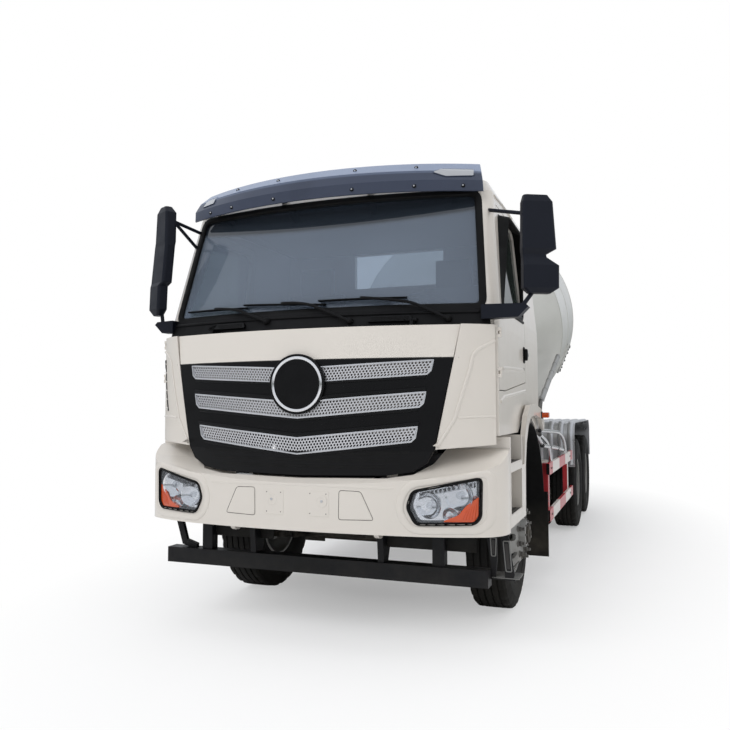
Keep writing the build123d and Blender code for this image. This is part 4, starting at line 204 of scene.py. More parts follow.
def tinted(name, color, opacity, rough=0.03, painted_reflection_color=(0.16, 0.19, 0.23), band=None, rear=None):
    """Glass: part see-through, part an opaque veil of painted reflection, with a sharp reflection on top."""
    material, nodes, links, shader, vector = tree_of(name)
    # Painted reflection: the veil's fixed colour, varied by noise, stands in for the surroundings reflected
    # in the glass.
    veil = ramp(nodes, links, noise(nodes, links, vector, 0.9, 3.0), 0.3, 0.7, 0.75, 1.2)
    painted_reflection = mix(nodes, links, veil, tuple(c * 0.7 for c in painted_reflection_color), painted_reflection_color)
    links.new(painted_reflection, shader.inputs["Base Color"])
    fill(shader, {"Roughness": rough, "Specular IOR Level": 0.6, "Coat Weight": 0.5, "Coat Roughness": 0.02})
    smear = noise(nodes, links, vector, 14.0, 4.0)
    bump(nodes, links, shader, smear, 0.02, 0.002)
    clear = nodes.new("ShaderNodeBsdfTransparent")
    clear.inputs["Color"].default_value = (*color, 1.0)
    blend = nodes.new("ShaderNodeMixShader")
    if band:
        place = split(nodes, links, vector)
        sag = math_node(nodes, links, "MULTIPLY", math_node(nodes, links, "POWER", place["X"], 2.0), 0.07)
        height = math_node(nodes, links, "SUBTRACT", place["Z"], sag)
        top = ramp(nodes, links, height, band[0], band[1], opacity, 0.95)
        links.new(mix_value(nodes, links, ramp(nodes, links, place["Y"], rear, rear + 0.01, 0.0, 1.0), top,
                            0.06),
                  blend.inputs[0])
        dark = mix(nodes, links, ramp(nodes, links, height, band[0], band[1], 0.0, 1.0), painted_reflection,
                   (0.020, 0.026, 0.034))
        links.new(dark, shader.inputs["Base Color"])
    else:
        blend.inputs[0].default_value = opacity
    links.new(clear.outputs[0], blend.inputs[1])
    links.new(shader.outputs[0], blend.inputs[2])
    output = nodes["Material Output"]
    links.new(blend.outputs[0], output.inputs["Surface"])
    return material


windscreen_glass = tinted("windscreen_glass", (0.85, 0.90, 0.95), 0.45, painted_reflection_color=(0.200, 0.240, 0.300),
                          band=(2.640, 2.668), rear=CAB + 1.2)
side_glass = tinted("side_glass", (0.42, 0.48, 0.45), 0.55, painted_reflection_color=(0.045, 0.055, 0.05))
lamp_lens = tinted("lamp_lens", (0.96, 0.97, 0.98), 0.10, painted_reflection_color=(0.5, 0.52, 0.55))
amber_lens = surface("amber_lens", (0.56, 0.062, 0.002), 0.18, coat=0.7, vary=0.06, grain=120.0)
marker_lens = surface("marker_lens", (0.40, 0.41, 0.43), 0.22, coat=0.6, vary=0.08, grain=90.0)
red_lens = surface("red_lens", (0.36, 0.010, 0.008), 0.18, coat=0.7, vary=0.06, grain=120.0)


def smoked():
    """Smoked visor plastic: blue-grey, its upper facet painted lighter as a painted sky reflection, with soft
    reflections.
    """
    material, nodes, links, shader, vector = tree_of("smoked_plastic")
    height = split(nodes, links, vector)["Z"]
    # Painted sky reflection: the upper facet is painted lighter and bluer than the lower one.
    painted_sky_facet = ramp(nodes, links, height, 2.955, 2.985, 0.0, 1.0)
    cloud = ramp(nodes, links, noise(nodes, links, vector, 2.2, 4.0), 0.35, 0.65, 0.8, 1.25)
    lower = mix(nodes, links, cloud, (0.014, 0.018, 0.030), (0.045, 0.055, 0.085))
    upper = mix(nodes, links, cloud, (0.130, 0.165, 0.245), (0.210, 0.255, 0.360))
    links.new(mix(nodes, links, painted_sky_facet, lower, upper), shader.inputs["Base Color"])
    fill(shader, {"Roughness": 0.34, "Specular IOR Level": 0.28, "Coat Weight": 0.12, "Coat Roughness": 0.10})
    bump(nodes, links, shader, noise(nodes, links, vector, 6.0, 2.0), 0.03, 0.01)
    return material


smoked_plastic = smoked()


def sidewall():
    """Tyre rubber: darker tread, ribbed and slightly dusty side walls."""
    material, nodes, links, shader, vector = tree_of("tyre_rubber")
    cloud = noise(nodes, links, vector, 7.0, 6.0, 0.65)
    base = mix(nodes, links, ramp(nodes, links, cloud, 0.3, 0.75, 0.0, 1.0), (0.003, 0.003, 0.003),
               (0.006, 0.006, 0.0055))
    height = split(nodes, links, vector)["Z"]
    dusty = math_node(nodes, links, "MULTIPLY", ramp(nodes, links, height, 0.0, 0.5, 0.16, 0.03), cloud)
    links.new(mix(nodes, links, dusty, base, (0.16, 0.14, 0.11)), shader.inputs["Base Color"])
    fill(shader, {"Roughness": 0.72, "Specular IOR Level": 0.18})
    bump(nodes, links, shader, noise(nodes, links, vector, 180.0, 3.0), 0.25, 0.001)
    return material


tyre_rubber = sidewall()


def striped():
    """Side rails in red and white bands along the truck."""
    material, nodes, links, shader, vector = tree_of("striped_rail")
    along = split(nodes, links, vector)["Y"]
    cycle = math_node(nodes, links, "FRACT", math_node(nodes, links, "DIVIDE",
                      math_node(nodes, links, "SUBTRACT", along, CAB + 2.0), 1.10))
    red = math_node(nodes, links, "LESS_THAN", cycle, 0.5)
    cloud = noise(nodes, links, vector, 12.0, 5.0)
    white = mix(nodes, links, cloud, (0.60, 0.54, 0.50), (0.72, 0.68, 0.63))
    paint = mix(nodes, links, cloud, (0.36, 0.008, 0.014), (0.50, 0.018, 0.026))
    links.new(mix(nodes, links, red, white, paint), shader.inputs["Base Color"])
    fill(shader, {"Roughness": 0.33, "Coat Weight": 0.3})
    bump(nodes, links, shader, noise(nodes, links, vector, 150.0, 3.0), 0.08, 0.001)
    return material


striped_rail = striped()


# Mesh helpers
OUTLINE_STEP = 0.03
CAD_ANGLE = 40.0
TRIM_ANGLE = 35.0
PLATE_ANGLE = 50.0
CREASE_ANGLE = 32.0


def linked(name, data):
    """New object in the scene."""
    obj = bpy.data.objects.new(name, data)
    bpy.context.scene.collection.objects.link(obj)
    return obj


def round_edges(obj, width, segments, angle):
    """Rounds the edges that are sharper than an angle."""
    rounding = obj.modifiers.new("rounding", "BEVEL")
    rounding.width = width
    rounding.segments = segments
    rounding.limit_method = "ANGLE"
    rounding.angle_limit = math.radians(angle)


def attach(obj, material, body, smooth=True):
    """Gives a new object its material, its shading and the body that it rides on."""
    obj.data.materials.clear()
    obj.data.materials.append(material)
    if obj.type == "MESH":
        obj.data.polygons.foreach_set("use_smooth", [smooth] * len(obj.data.polygons))
    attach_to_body(obj, body)
    return obj


def mesh_object(name, verts, faces, material, body, smooth=True, bevel=0.0):
    """Mesh piece from vertices and faces, with its edges rounded."""
    mesh = bpy.data.meshes.new(name)
    mesh.from_pydata([tuple(v) for v in verts], [], faces)
    work = bmesh.new()
    work.from_mesh(mesh)
    bmesh.ops.remove_doubles(work, verts=work.verts, dist=1e-5)
    bmesh.ops.recalc_face_normals(work, faces=work.faces)
    work.to_mesh(mesh)
    work.free()
    obj = linked(name, mesh)
    if bevel:
        round_edges(obj, bevel, 2, TRIM_ANGLE)
    attach(obj, material, body, smooth)
    if smooth:
        sharpen(obj, CREASE_ANGLE)
    return obj


def sharpen(obj, angle):
    """Keeps edges above an angle crisp on a smooth-shaded mesh."""
    work = bmesh.new()
    work.from_mesh(obj.data)
    limit = math.radians(angle)
    for edge in work.edges:
        if len(edge.link_faces) == 2 and edge.calc_face_angle(0.0) > limit:
            edge.smooth = False
    work.to_mesh(obj.data)
    work.free()


def basis(direction):
    """Two unit vectors square to a direction."""
    d = Vector(direction).normalized()
    helper = Vector((0, 0, 1)) if abs(d.z) < 0.9 else Vector((0, 1, 0))
    side = d.cross(helper).normalized()
    return side, d.cross(side).normalized()


def disc_stack(sections, direction, centre, segments):
    """Vertices and faces of a body of revolution, from rows of distance and radius."""
    side, up = basis(direction)
    d, c = Vector(direction).normalized(), Vector(centre)
    verts, faces = [], []
    for along, radius in sections:
        for k in range(segments):
            a = 2 * math.pi * k / segments
            verts.append(c + d * along + (side * math.cos(a) + up * math.sin(a)) * radius)
    for row in range(len(sections) - 1):
        for k in range(segments):
            a, b = row * segments + k, row * segments + (k + 1) % segments
            faces.append((a, b, b + segments, a + segments))
    faces.append(tuple(range(segments)))
    faces.append(tuple(range((len(sections) - 1) * segments, len(sections) * segments)))
    return verts, faces


def turned(name, sections, direction, centre, segments, material, body):
    """Body of revolution as one piece."""
    verts, faces = disc_stack(sections, direction, centre, segments)
    return mesh_object(name, verts, faces, material, body)


def gather(parts):
    """Joins (verts, faces) pairs into one."""
    verts, faces = [], []
    for some_verts, some_faces in parts:
        start = len(verts)
        verts.extend(some_verts)
        faces.extend([tuple(i + start for i in face) for face in some_faces])
    return verts, faces


def box_shape(low, high):
    """Vertices and faces of a box between two corners."""
    verts = [Vector((x, y, z)) for x in (low[0],
                                         high[0]) for y in (low[1], high[1]) for z in (low[2], high[2])]
    faces = [(0, 1, 3, 2), (4, 6, 7, 5), (0, 4, 5, 1), (2, 3, 7, 6), (0, 2, 6, 4), (1, 5, 7, 3)]
    return verts, faces


def boxes(name, corners, material, body, bevel=0.004):
    """Several boxes as one piece with rounded edges."""
    verts, faces = gather([box_shape(low, high) for low, high in corners])
    return mesh_object(name, verts, faces, material, body, bevel=bevel)


def tube(name, points, radius, material, body):
    """Bent round bar through points."""
    curve = bpy.data.curves.new(name, "CURVE")
    curve.dimensions = "3D"
    curve.bevel_depth = radius
    curve.bevel_resolution = 4
    curve.resolution_u = 10
    curve.use_fill_caps = True
    spline = curve.splines.new("NURBS")
    spline.points.add(len(points) - 1)
    for point, place in zip(spline.points, points):
        point.co = (*place, 1.0)
    spline.order_u = 3
    spline.use_endpoint_u = True
    return attach(linked(name, curve), material, body)


def studs(name, places, direction, radius, height, material, body, segments=6, dome=0.35):
    """Bolt heads or rivets at several places, all facing one way or each its own."""
    parts = []
    for place in places:
        centre, facing = place if isinstance(place[0], (tuple, Vector)) else (place, direction)
        rows = [(-0.002, radius), (height * (1 - dome), radius), (height, radius * 0.72)]
        parts.append(disc_stack(rows, facing, centre, segments))
    verts, faces = gather(parts)
    return mesh_object(name, verts, faces, material, body, smooth=segments > 8)


# Curved surfaces of the cab, as functions of x and z in metres
LID_ROWS = ((1.040, 0.126, -0.012), (1.200, 0.108, -0.030), (1.350, 0.106, -0.032), (1.555, 0.110, -0.028),
            (1.758, 0.123, -0.015), (1.953, 0.143, 0.005))
SCREEN_ROWS = (
    # z, corner_x, corner_y, centre_y
    (1.960, 1.130, 0.268, 0.108), (2.070, 1.120, 0.292, 0.132), (2.870, 1.048, 0.520, 0.380),
    (2.965, 0.985, 0.590, 0.470), (3.015, 0.860, 0.730, 0.640),
)


def bow(x, half, edge, centre):
    """Y of an arc that passes (half, edge) and (0, centre)."""
    rise = edge - centre
    radius = (half * half + rise * rise) / (2 * rise)
    return centre + radius - math.sqrt(max(0.0, radius * radius - x * x))


def rows_y(rows, x, z):
    """Y on a ruled face through rows of z, half width, edge y and centre y."""
    if z <= rows[0][0]:
        rows = (rows[0], rows[0])
    elif z >= rows[-1][0]:
        rows = (rows[-1], rows[-1])
    else:
        rows = next((a, b) for a, b in zip(rows, rows[1:]) if a[0] <= z <= b[0])
    a, b = rows
    t = 0.0 if a is b else (z - a[0]) / (b[0] - a[0])
    ya, yb = bow(x, *a[1:]), bow(x, *b[1:])
    return CAB + ya + (yb - ya) * t


def lid_y(x, z):
    """Y of the front lid's face."""
    return rows_y([(z0, 1.0, edge, centre) for z0, edge, centre in LID_ROWS], x, z)


def screen_y(x, z):
    """Y of the cab's face round the windscreen."""
    return rows_y(SCREEN_ROWS, x, z)


def caster(*names):
    """Y where a ray from the front first meets these CAD nodes, at x and z."""
    trees = [tree_of_node(name) for name in names]

    def meet(x, z):
        for shrink in range(12):
            near = x * (1.0 - 0.006 * shrink)
            hits = [t.ray_cast(Vector((near, -8.0, z)), Vector((0, 1, 0))) for t in trees]
            found = [hit[0].y for hit in hits if hit[0] is not None]
            if found:
                return min(found)
        return CAB
    return meet


def tree_of_node(name):
    """Search tree over a CAD node's faces in the shared frame."""
    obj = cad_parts[name]
    verts = [obj.matrix_world @ v.co for v in obj.data.vertices]
    return BVHTree.FromPolygons(verts, [tuple(p.vertices) for p in obj.data.polygons])


def front_of(meet):
    """Places (x, z) at a lift in front of a face that looks forward."""
    return lambda u, v, lift: Vector((u, meet(u, v) - lift, v))


def side_of(sign, *names):
    """Places (y from CAB, z) at a lift outside a face that looks to one side."""
    trees = [tree_of_node(name) for name in names]

    def place(u, v, lift):
        hits = [t.ray_cast(Vector((sign * 3.0, CAB + u, v)), Vector((-sign, 0, 0))) for t in trees]
        found = [abs(hit[0].x) for hit in hits if hit[0] is not None]
        return Vector((sign * ((max(found) if found else CAB_HALF) + lift), CAB + u, v))
    return place


def fine(outline, closed):
    """Outline with more points along its straight runs."""
    points = []
    pairs = list(zip(outline, outline[1:] + outline[:1])) if closed else list(zip(outline, outline[1:]))
    for (u0, v0), (u1, v1) in pairs:
        count = max(1, math.ceil(math.hypot(u1 - u0, v1 - v0) / OUTLINE_STEP))
        points += [(u0 + (u1 - u0) * k / count, v0 + (v1 - v0) * k / count) for k in range(count)]
    return points if closed else points + [outline[-1]]


def swept(outline, face, section, closed):
    """Vertices and faces of a section of (across, lift) points swept along an outline on a face."""
    points = fine(outline, closed)
    total, wide = len(points), len(section)
    verts, faces = [], []
    for k, (u, v) in enumerate(points):
        before = points[k - 1] if (closed or k) else points[k]
        after = points[(k + 1) % total] if (closed or k < total - 1) else points[k]
        tangent = Vector((after[0] - before[0], after[1] - before[1]))
        tangent = tangent.normalized() if tangent.length else Vector((1, 0))
        for across, lift in section:
            verts.append(face(u - tangent.y * across, v + tangent.x * across, lift))
    for k in range(total if closed else total - 1):
        a, b = k * wide, ((k + 1) % total) * wide
        faces += [(a + j, b + j, b + (j + 1) % wide, a + (j + 1) % wide) for j in range(wide)]
    if not closed:
        faces += [tuple(range(wide)), tuple(range((total - 1) * wide, total * wide))]
    return verts, faces


def flat_section(width, low, high):
    """Rectangular section with slightly narrowed top."""
    w = width / 2
    return [(-w, low), (-w, high - 0.0012), (-w + 0.0012, high), (w - 0.0012, high), (w, high - 0.0012),
            (w, low)]


def round_section(width, height, low=-0.002, steps=8):
    """Half-round section."""
    arc = [(math.cos(math.pi * k / steps) * width / 2, math.sin(math.pi * k / steps) * height)
           for k in range(steps + 1)]
    return [(arc[0][0], low)] + arc + [(arc[-1][0], low)]


def band(name, outlines, face, section, material, body, closed=True):
    """One piece of swept bands along several outlines."""
    verts, faces = gather([swept(outline, face, section, closed) for outline in outlines])
    return mesh_object(name, verts, faces, material, body)


def plates(name, outlines, face, low, high, material, body, cell=0.03, bevel=0.003):
    """Plates with (u, v) outlines that follow a face, from a low to a high lift, as one piece."""
    work = bmesh.new()
    for outline in outlines:
        piece = bmesh.new()
        piece.faces.new([piece.verts.new((u, 0.0, v)) for u, v in outline])
        low_corner = [min(p[i] for p in outline) for i in (0, 1)]
        high_corner = [max(p[i] for p in outline) for i in (0, 1)]
        for axis, normal in ((0, (1, 0, 0)), (1, (0, 0, 1))):
            at = low_corner[axis] + cell
            while at < high_corner[axis]:
                point = (at, 0, 0) if axis == 0 else (0, 0, at)
                geometry = list(piece.verts) + list(piece.edges) + list(piece.faces)
                bmesh.ops.bisect_plane(piece, geom=geometry, plane_co=point, plane_no=normal)
                at += cell
        grown = bmesh.ops.extrude_face_region(piece, geom=list(piece.faces))
        back = {v for v in grown["geom"] if isinstance(v, bmesh.types.BMVert)}
        places = {v: face(v.co.x, v.co.z, low if v in back else high) for v in piece.verts}
        for v, place in places.items():
            v.co = place
        bmesh.ops.recalc_face_normals(piece, faces=piece.faces)
        loose = bpy.data.meshes.new("loose")
        piece.to_mesh(loose)
        piece.free()
        work.from_mesh(loose)
        bpy.data.meshes.remove(loose)
    mesh = bpy.data.meshes.new(name)
    work.to_mesh(mesh)
    work.free()
    obj = linked(name, mesh)
    if bevel:
        round_edges(obj, bevel, 2, PLATE_ANGLE)
    attach(obj, material, body)
    sharpen(obj, PLATE_ANGLE)
    return obj


def rounded(points, radius, steps=5):
    """The same closed outline with its corners rounded."""
    result = []
    total = len(points)
    for k in range(total):
        p0, p, p1 = (Vector(points[k - 1]), Vector(points[k]), Vector(points[(k + 1) % total]))
        reach = min(radius, (p0 - p).length * 0.45, (p1 - p).length * 0.45)
        a, b = p + (p0 - p).normalized() * reach, p + (p1 - p).normalized() * reach
        for s in range(steps + 1):
            t = s / steps
            q = a * (1 - t) ** 2 + p * 2 * t * (1 - t) + b * t ** 2
            result.append((q.x, q.y))
    return result


def pad(a, low, b, high, radius, steps=5):
    """Rectangular outline between two corners, with rounded corners."""
    return rounded([(a, low), (b, low), (b, high), (a, high)], radius, steps)


def facing(sign, points):
    """Outline as it is on the left side, mirrored on the right."""
    return list(points) if sign > 0 else [(-x, z) for x, z in reversed(points)]


def pad_pieces(rows, side, face, body):
    """Rounded rectangular plates on one side of the cab, from rows of a table."""
    for part, corners, low, high, material, edge in rows:
        plates(f"{part}_{side}", [pad(*corners)], face, low, high, material, body, cell=0.05, bevel=edge)


def repaint(node, material, bevel=0.0):
    """Gives a CAD node its finish and rounds its edges."""
    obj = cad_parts[node]
    for k in range(max(1, len(obj.material_slots))):
        if obj.material_slots:
            obj.material_slots[k].material = material
        else:
            obj.data.materials.append(material)
    if bevel:
        round_edges(obj, bevel, 3, CAD_ANGLE)


def second_finish(node, material, test):
    """Second finish on the faces of a CAD node whose middles pass a test."""
    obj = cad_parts[node]
    obj.data.materials.append(material)
    slot = len(obj.data.materials) - 1
    for face in obj.data.polygons:
        if test(obj.matrix_world @ face.center):
            face.material_index = slot


# CAD pieces that stay, with their finishes
FINISHES = (
    # node, material, edge rounding
    ("cab_shell", cab_paint, 0.010), ("corner_panels", cab_paint, 0.006), ("front_lid", cab_paint, 0.004),
    ("door_left", cab_paint, 0.004), ("door_right", cab_paint, 0.004), ("front_bumper", cab_paint, 0.016),
    ("front_fenders", cab_paint, 0.006), ("cowl", black_satin, 0.006),
    ("grille_surround", black_gloss, 0.004),
    ("sun_visor", smoked_plastic, 0.003), ("cab_glass", windscreen_glass, 0.0),
    ("door_glass_left", side_glass, 0.0),
    ("door_glass_right", side_glass, 0.0), ("cab_interior", fabric, 0.012),
    ("underrun_bar", bar_paint, 0.006),
    ("frame_rails", chassis_paint, 0.003), ("powertrain", iron, 0.012), ("front_axle", iron, 0.004),
    ("knuckle_left", iron, 0.004), ("knuckle_right", iron, 0.004), ("tie_rod", iron, 0.0),
    ("rear_axles", iron, 0.004), ("mudflaps", flap_rubber, 0.0), ("side_guards", striped_rail, 0.005),
    ("chassis_tanks", aluminium, 0.006), ("rear_fenders", aluminium, 0.0),
    ("rear_bumper", chassis_paint, 0.005),
    ("drum", drum_paint, 0.0), ("mixer_frame", mixer_paint, 0.004), ("roller_left", iron, 0.004),
    ("roller_right", iron, 0.004), ("hopper", mixer_paint, 0.0), ("ladder", mixer_paint, 0.0),
    ("chute_bracket", mixer_paint, 0.003), ("chute_swivel", mixer_paint, 0.003), ("chute", mixer_paint, 0.0),
    ("chute_fold", mixer_paint, 0.0), ("jack_barrel", chassis_paint, 0.0), ("jack_rod", chrome, 0.0),
    ("mirror_left", mirror_shell, 0.016), ("mirror_right", mirror_shell, 0.016),
    ("headlamps", lamp_lens, 0.0),
    ("grille_strips", mesh_metal, 0.0), ("tow_jaw", chassis_paint, 0.003),
)
for node, material, rounding in FINISHES:
    repaint(node, material, rounding)
for place in ("front", "mid", "rear"):
    for side, sign in SIDES:
        repaint(f"tyre_{place}_{side}", tyre_rubber)
        repaint(f"rim_{place}_{side}", rim_metal)


GRAB_TUBE = ((1.215, 2.050, 1.150), (1.215, 3.150, 1.075), (1.215, 3.700, 1.030), (1.215, 3.930, 0.880))


def near_tube(point):
    """True close to the bent grab tubes over the side guards."""
    if point.z > 0.992:
        return True
    flat = Vector((abs(point.x), point.y - CAB, point.z))
    for a, b in zip(GRAB_TUBE, GRAB_TUBE[1:]):
        a, b = Vector(a), Vector(b)
        share = max(0.0, min(1.0, (flat - a).dot(b - a) / (b - a).length_squared))
        if (flat - a - (b - a) * share).length < 0.0205:
            return True
    return False


second_finish("side_guards", stainless, near_tube)
second_finish("front_lid", black_satin, lambda p: abs(abs(p.x) - 0.700) < 0.0115 and p.z > 1.9535)

# Grille: perforated strips, badge, bars and slots
STRIPS = (
    # outer x, top z, outer height, middle height, droop
    (0.845, 1.745, 0.092, 0.100, 0.040), (0.803, 1.555, 0.096, 0.105, 0.058),
    (0.754, 1.350, 0.096, 0.106, 0.072),
)
BADGE_Z = 1.605
HOLE_RADIUS = 0.0066
HOLE_STEP = 0.0205
MESH_ROWS = 5
lid_face = front_of(lid_y)


def strip_point(strip, u, v):
    """X and z on a drooping strip; u runs across from -1 to 1, v from top to bottom."""
    x, z, outer, middle, droop = strip
    slant = 0.0144 * v / 0.72 if v < 0.72 else 0.0144 + 0.0288 * (v - 0.72) / 0.28
    side = abs(u)
    top = z - droop * (1 - side)
    bottom = (z - outer) * side + (z - droop - middle) * (1 - side)
    return u * (x - slant), top + (bottom - top) * v


def mesh_strip(strip):
    """Sheet with staggered round holes and a plain edge."""
    verts, faces = [], []
    width = 2 * strip[0] - 0.03
    count = int(width / HOLE_STEP)
    edge_u, edge_v = 0.012 / strip[0], 0.09
    cell_u, cell_v = (2 - 2 * edge_u) / count, (1 - 2 * edge_v) / MESH_ROWS
    corners = 12

    def add(points, depth=0.0):
        start = len(verts)
        for u, v in points:
            x, z = strip_point(strip, u, v)
            verts.append(Vector((x, lid_y(x, z) + 0.0085 + depth, z)))
        return start

    def quad(u0, v0, u1, v1):
        parts = max(1, int((u1 - u0) / 0.04))
        for k in range(parts):
            a, b = u0 + (u1 - u0) * k / parts, u0 + (u1 - u0) * (k + 1) / parts
            start = add([(a, v0), (b, v0), (b, v1), (a, v1)])
            faces.append(tuple(range(start, start + 4)))

    quad(-1, 0, 1, edge_v)
    quad(-1, 1 - edge_v, 1, 1)
    radius_u = HOLE_RADIUS / strip[0]
    radius_v = HOLE_RADIUS / strip[2]
    for row in range(MESH_ROWS):
        v0 = edge_v + row * cell_v
        shift = 0.5 * cell_u * (row % 2)
        quad(-1, v0, -1 + edge_u + shift, v0 + cell_v)
        quad(1 - edge_u - (cell_u - shift if row % 2 else 0.0), v0, 1, v0 + cell_v)
        for k in range(count - row % 2):
            u0 = -1 + edge_u + shift + k * cell_u
            mid_u, mid_v = u0 + cell_u / 2, v0 + cell_v / 2
            rim, hole = [], []
            for c in range(corners):
                a = 2 * math.pi * (c + 0.5) / corners
                ca, sa = math.cos(a), math.sin(a)
                reach = min(1 / max(abs(ca), 1e-6), 1 / max(abs(sa), 1e-6))
                rim.append((mid_u + ca * reach * cell_u / 2, mid_v + sa * reach * cell_v / 2))
                hole.append((mid_u + ca * radius_u, mid_v + sa * radius_v))
            for c, corner in ((1, (1, 1)), (4, (-1, 1)), (7, (-1, -1)), (10, (1, -1))):
                rim[c] = (mid_u + corner[0] * cell_u / 2, mid_v + corner[1] * cell_v / 2)
            outer, inner, deep = add(rim), add(hole), add(hole, 0.0035)
            for c in range(corners):
                n = (c + 1) % corners
                faces.append((outer + c, outer + n, inner + n, inner + c))
                faces.append((inner + c, inner + n, deep + n, deep + c))
    return verts, faces


strip_verts, strip_faces = gather([mesh_strip(strip) for strip in STRIPS])
strips = mesh_object("grille_mesh", strip_verts, strip_faces, mesh_metal, "lid")
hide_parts("grille_strips")


def strip_edge(strip, inset=0.0):
    """Closed outline of a strip with rounded lower corners."""
    e = inset / strip[2]
    eu = inset / strip[0]
    steps = 16
    top = [strip_point(strip, -1 + eu + (2 - 2 * eu) * k / steps, e) for k in range(steps + 1)]
    bottom = [strip_point(strip, 1 - eu - (2 - 2 * eu) * k / steps, 1 - e) for k in range(steps + 1)]
    right = [strip_point(strip, 1 - eu, v) for v in (0.35, 0.72)]
    left = [strip_point(strip, -1 + eu, v) for v in (0.72, 0.35)]
    return top + right + bottom + left


band("grille_rims", [strip_edge(strip, 0.004) for strip in STRIPS], lid_face,
     [(-0.0045, -0.010), (-0.0045, 0.0015), (0.0, 0.003), (0.0045, 0.0015), (0.0045, -0.010)], aluminium,
     "lid")


def drooped(half, z, droop, shares, lift=0.0):
    """Line across the lid that hangs towards its middle."""
    return [(half * share, z - droop * (1 - abs(half * share) / half) + lift) for share in shares]


FIVE_SHARES = (-1.0, -0.5, 0.0, 0.5, 1.0)
LINES = (
    # name, rows of half width, z and droop, shares of the half width, lift, section, material
    ("grille_ribs", ((0.800, 1.555, 0.058), (0.760, 1.350, 0.072)), FIVE_SHARES, 0.016,
     round_section(0.022, 0.009), black_gloss),
    ("grille_lower_ribs", ((0.795, 1.640, 0.036), (0.750, 1.444, 0.060), (0.700, 1.240, 0.078)), FIVE_SHARES,
     0.0, round_section(0.018, 0.006), black_gloss),
    ("grille_slots", ((0.700, 1.195, 0.030), (0.640, 1.150, 0.022), (0.560, 1.108, 0.014)),
     (-1.0, -0.6, 0.6, 1.0), 0.0, flat_section(0.020, -0.002, 0.0012), gasket),
)
for name, rows, shares, lift, section, material in LINES:
    lines = [drooped(half, z, droop, shares, lift) for half, z, droop in rows]
    band(name, lines, lid_face, section, material, "lid", closed=False)
badge_front = CAB - 0.038
badge = (0.0, badge_front, BADGE_Z)
ring = [(-0.004, 0.1735), (0.006, 0.1725), (0.011, 0.168), (0.0125, 0.1635), (0.011, 0.159), (0.006, 0.1545),
        (-0.004, 0.1535)]
turned("badge_ring", ring, (0, -1, 0), badge, 72, chrome, "lid")
bezel = [(-0.004, 0.187), (0.004, 0.1865), (0.0065, 0.184), (0.0065, 0.177), (0.003, 0.1745),
         (-0.004, 0.1740)]
turned("badge_bezel", bezel, (0, -1, 0), badge, 72, black_satin, "lid")
dish = [(-0.004, 0.153), (0.0015, 0.1525), (0.0045, 0.110), (0.0060, 0.060), (0.0065, 0.012)]
turned("badge_disc", dish, (0, -1, 0), badge, 64, black_gloss, "lid")
band("lid_seam", [[(-0.985, 1.755), (-0.45, 1.755), (0.45, 1.755), (0.985, 1.755)]], lid_face,
     flat_section(0.006, -0.002, 0.0008), line_dark, "lid", closed=False)

# Bumper: lamp glass, tow covers, plate pads and parking sensors
HEADLAMP = ((1.112, 1.049), (0.730, 0.971), (0.698, 0.879), (0.748, 0.783), (1.074, 0.789), (1.106, 0.826))
bumper_face = front_of(caster("front_bumper"))
lamp_face = front_of(caster("headlamps", "front_bumper"))
for side, sign in SIDES:
    soft = rounded(facing(sign, HEADLAMP), 0.030)
    inner = [(u + (sign * 0.915 - u) * 0.055, v + (0.905 - v) * 0.055) for u, v in soft]
    lens = plates(f"lamp_lens_{side}", [inner], lamp_face, -0.003, 0.004, lamp_lens, "chassis", cell=0.04)
    plates(f"lamp_housing_{side}", [inner], lamp_face, -0.052, -0.048, chrome, "chassis", cell=0.05,
           bevel=0.0)
    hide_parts("headlamps")
    band(f"lamp_gasket_{side}", [soft], lamp_face, round_section(0.019, 0.014, low=-0.012), gasket, "chassis")
    band(f"lamp_wall_{side}", [inner], lamp_face, flat_section(0.006, -0.050, -0.004), black_satin, "chassis")
    for index, (x, z, radius) in enumerate(((0.815, 0.888, 0.070), (0.985, 0.945, 0.078),
                                            (0.935, 0.832, 0.042))):
        back = lamp_face(sign * x, z, -0.050)
        bowl = [(0.000, radius * 0.30), (0.004, radius * 0.55), (0.016, radius * 0.85), (0.030, radius),
                (0.034, radius * 1.06), (0.030, radius * 1.08), (-0.001, radius * 0.9)]
        turned(f"lamp_bowl_{side}_{index}", bowl, (0, -1, 0), back, 40, chrome, "chassis")
        bulb = [(0.0, radius * 0.26), (0.018, radius * 0.26), (0.024, radius * 0.20), (0.027, radius * 0.08)]
        turned(f"lamp_bulb_{side}_{index}", bulb, (0, -1, 0), back, 24, lamp_lens, "chassis")
    flutes = [[(sign * (0.775 + 0.024 * k), 0.965 + 0.0047 * k),
               (sign * (0.775 + 0.024 * k), 0.982 + 0.0047 * k - 0.045)]
              for k in range(13)]
    band(f"lamp_flutes_{side}", flutes, lamp_face, round_section(0.014, -0.036, low=-0.047), chrome,
         "chassis", closed=False)
    wedge = [(1.097, 0.945), (1.026, 0.890), (0.985, 0.838), (0.905, 0.806), (0.905, 0.798), (1.070, 0.798),
             (1.094, 0.834)]
    plates(f"lamp_amber_{side}", [rounded(facing(sign, wedge), 0.012)], lamp_face, -0.030, 0.0055,
           amber_lens, "chassis", cell=0.05)
    fins = [[(sign * (1.010 + 0.016 * k), 0.812),
             (sign * (1.034 + 0.013 * k), 0.870 + 0.008 * k)] for k in range(5)]
    band(f"lamp_fins_{side}", fins, lamp_face, round_section(0.004, 0.0075, low=0.003), amber_lens, "chassis",
         closed=False)
    surround = [(1.168, 1.085), (0.700, 1.010), (0.640, 0.875), (0.712, 0.748), (1.100, 0.752),
                (1.160, 0.800)]
    band(f"lamp_surround_{side}", [rounded(facing(sign, surround), 0.070, 8)], bumper_face,
         round_section(0.046, 0.0065, -0.004), cab_paint, "chassis")

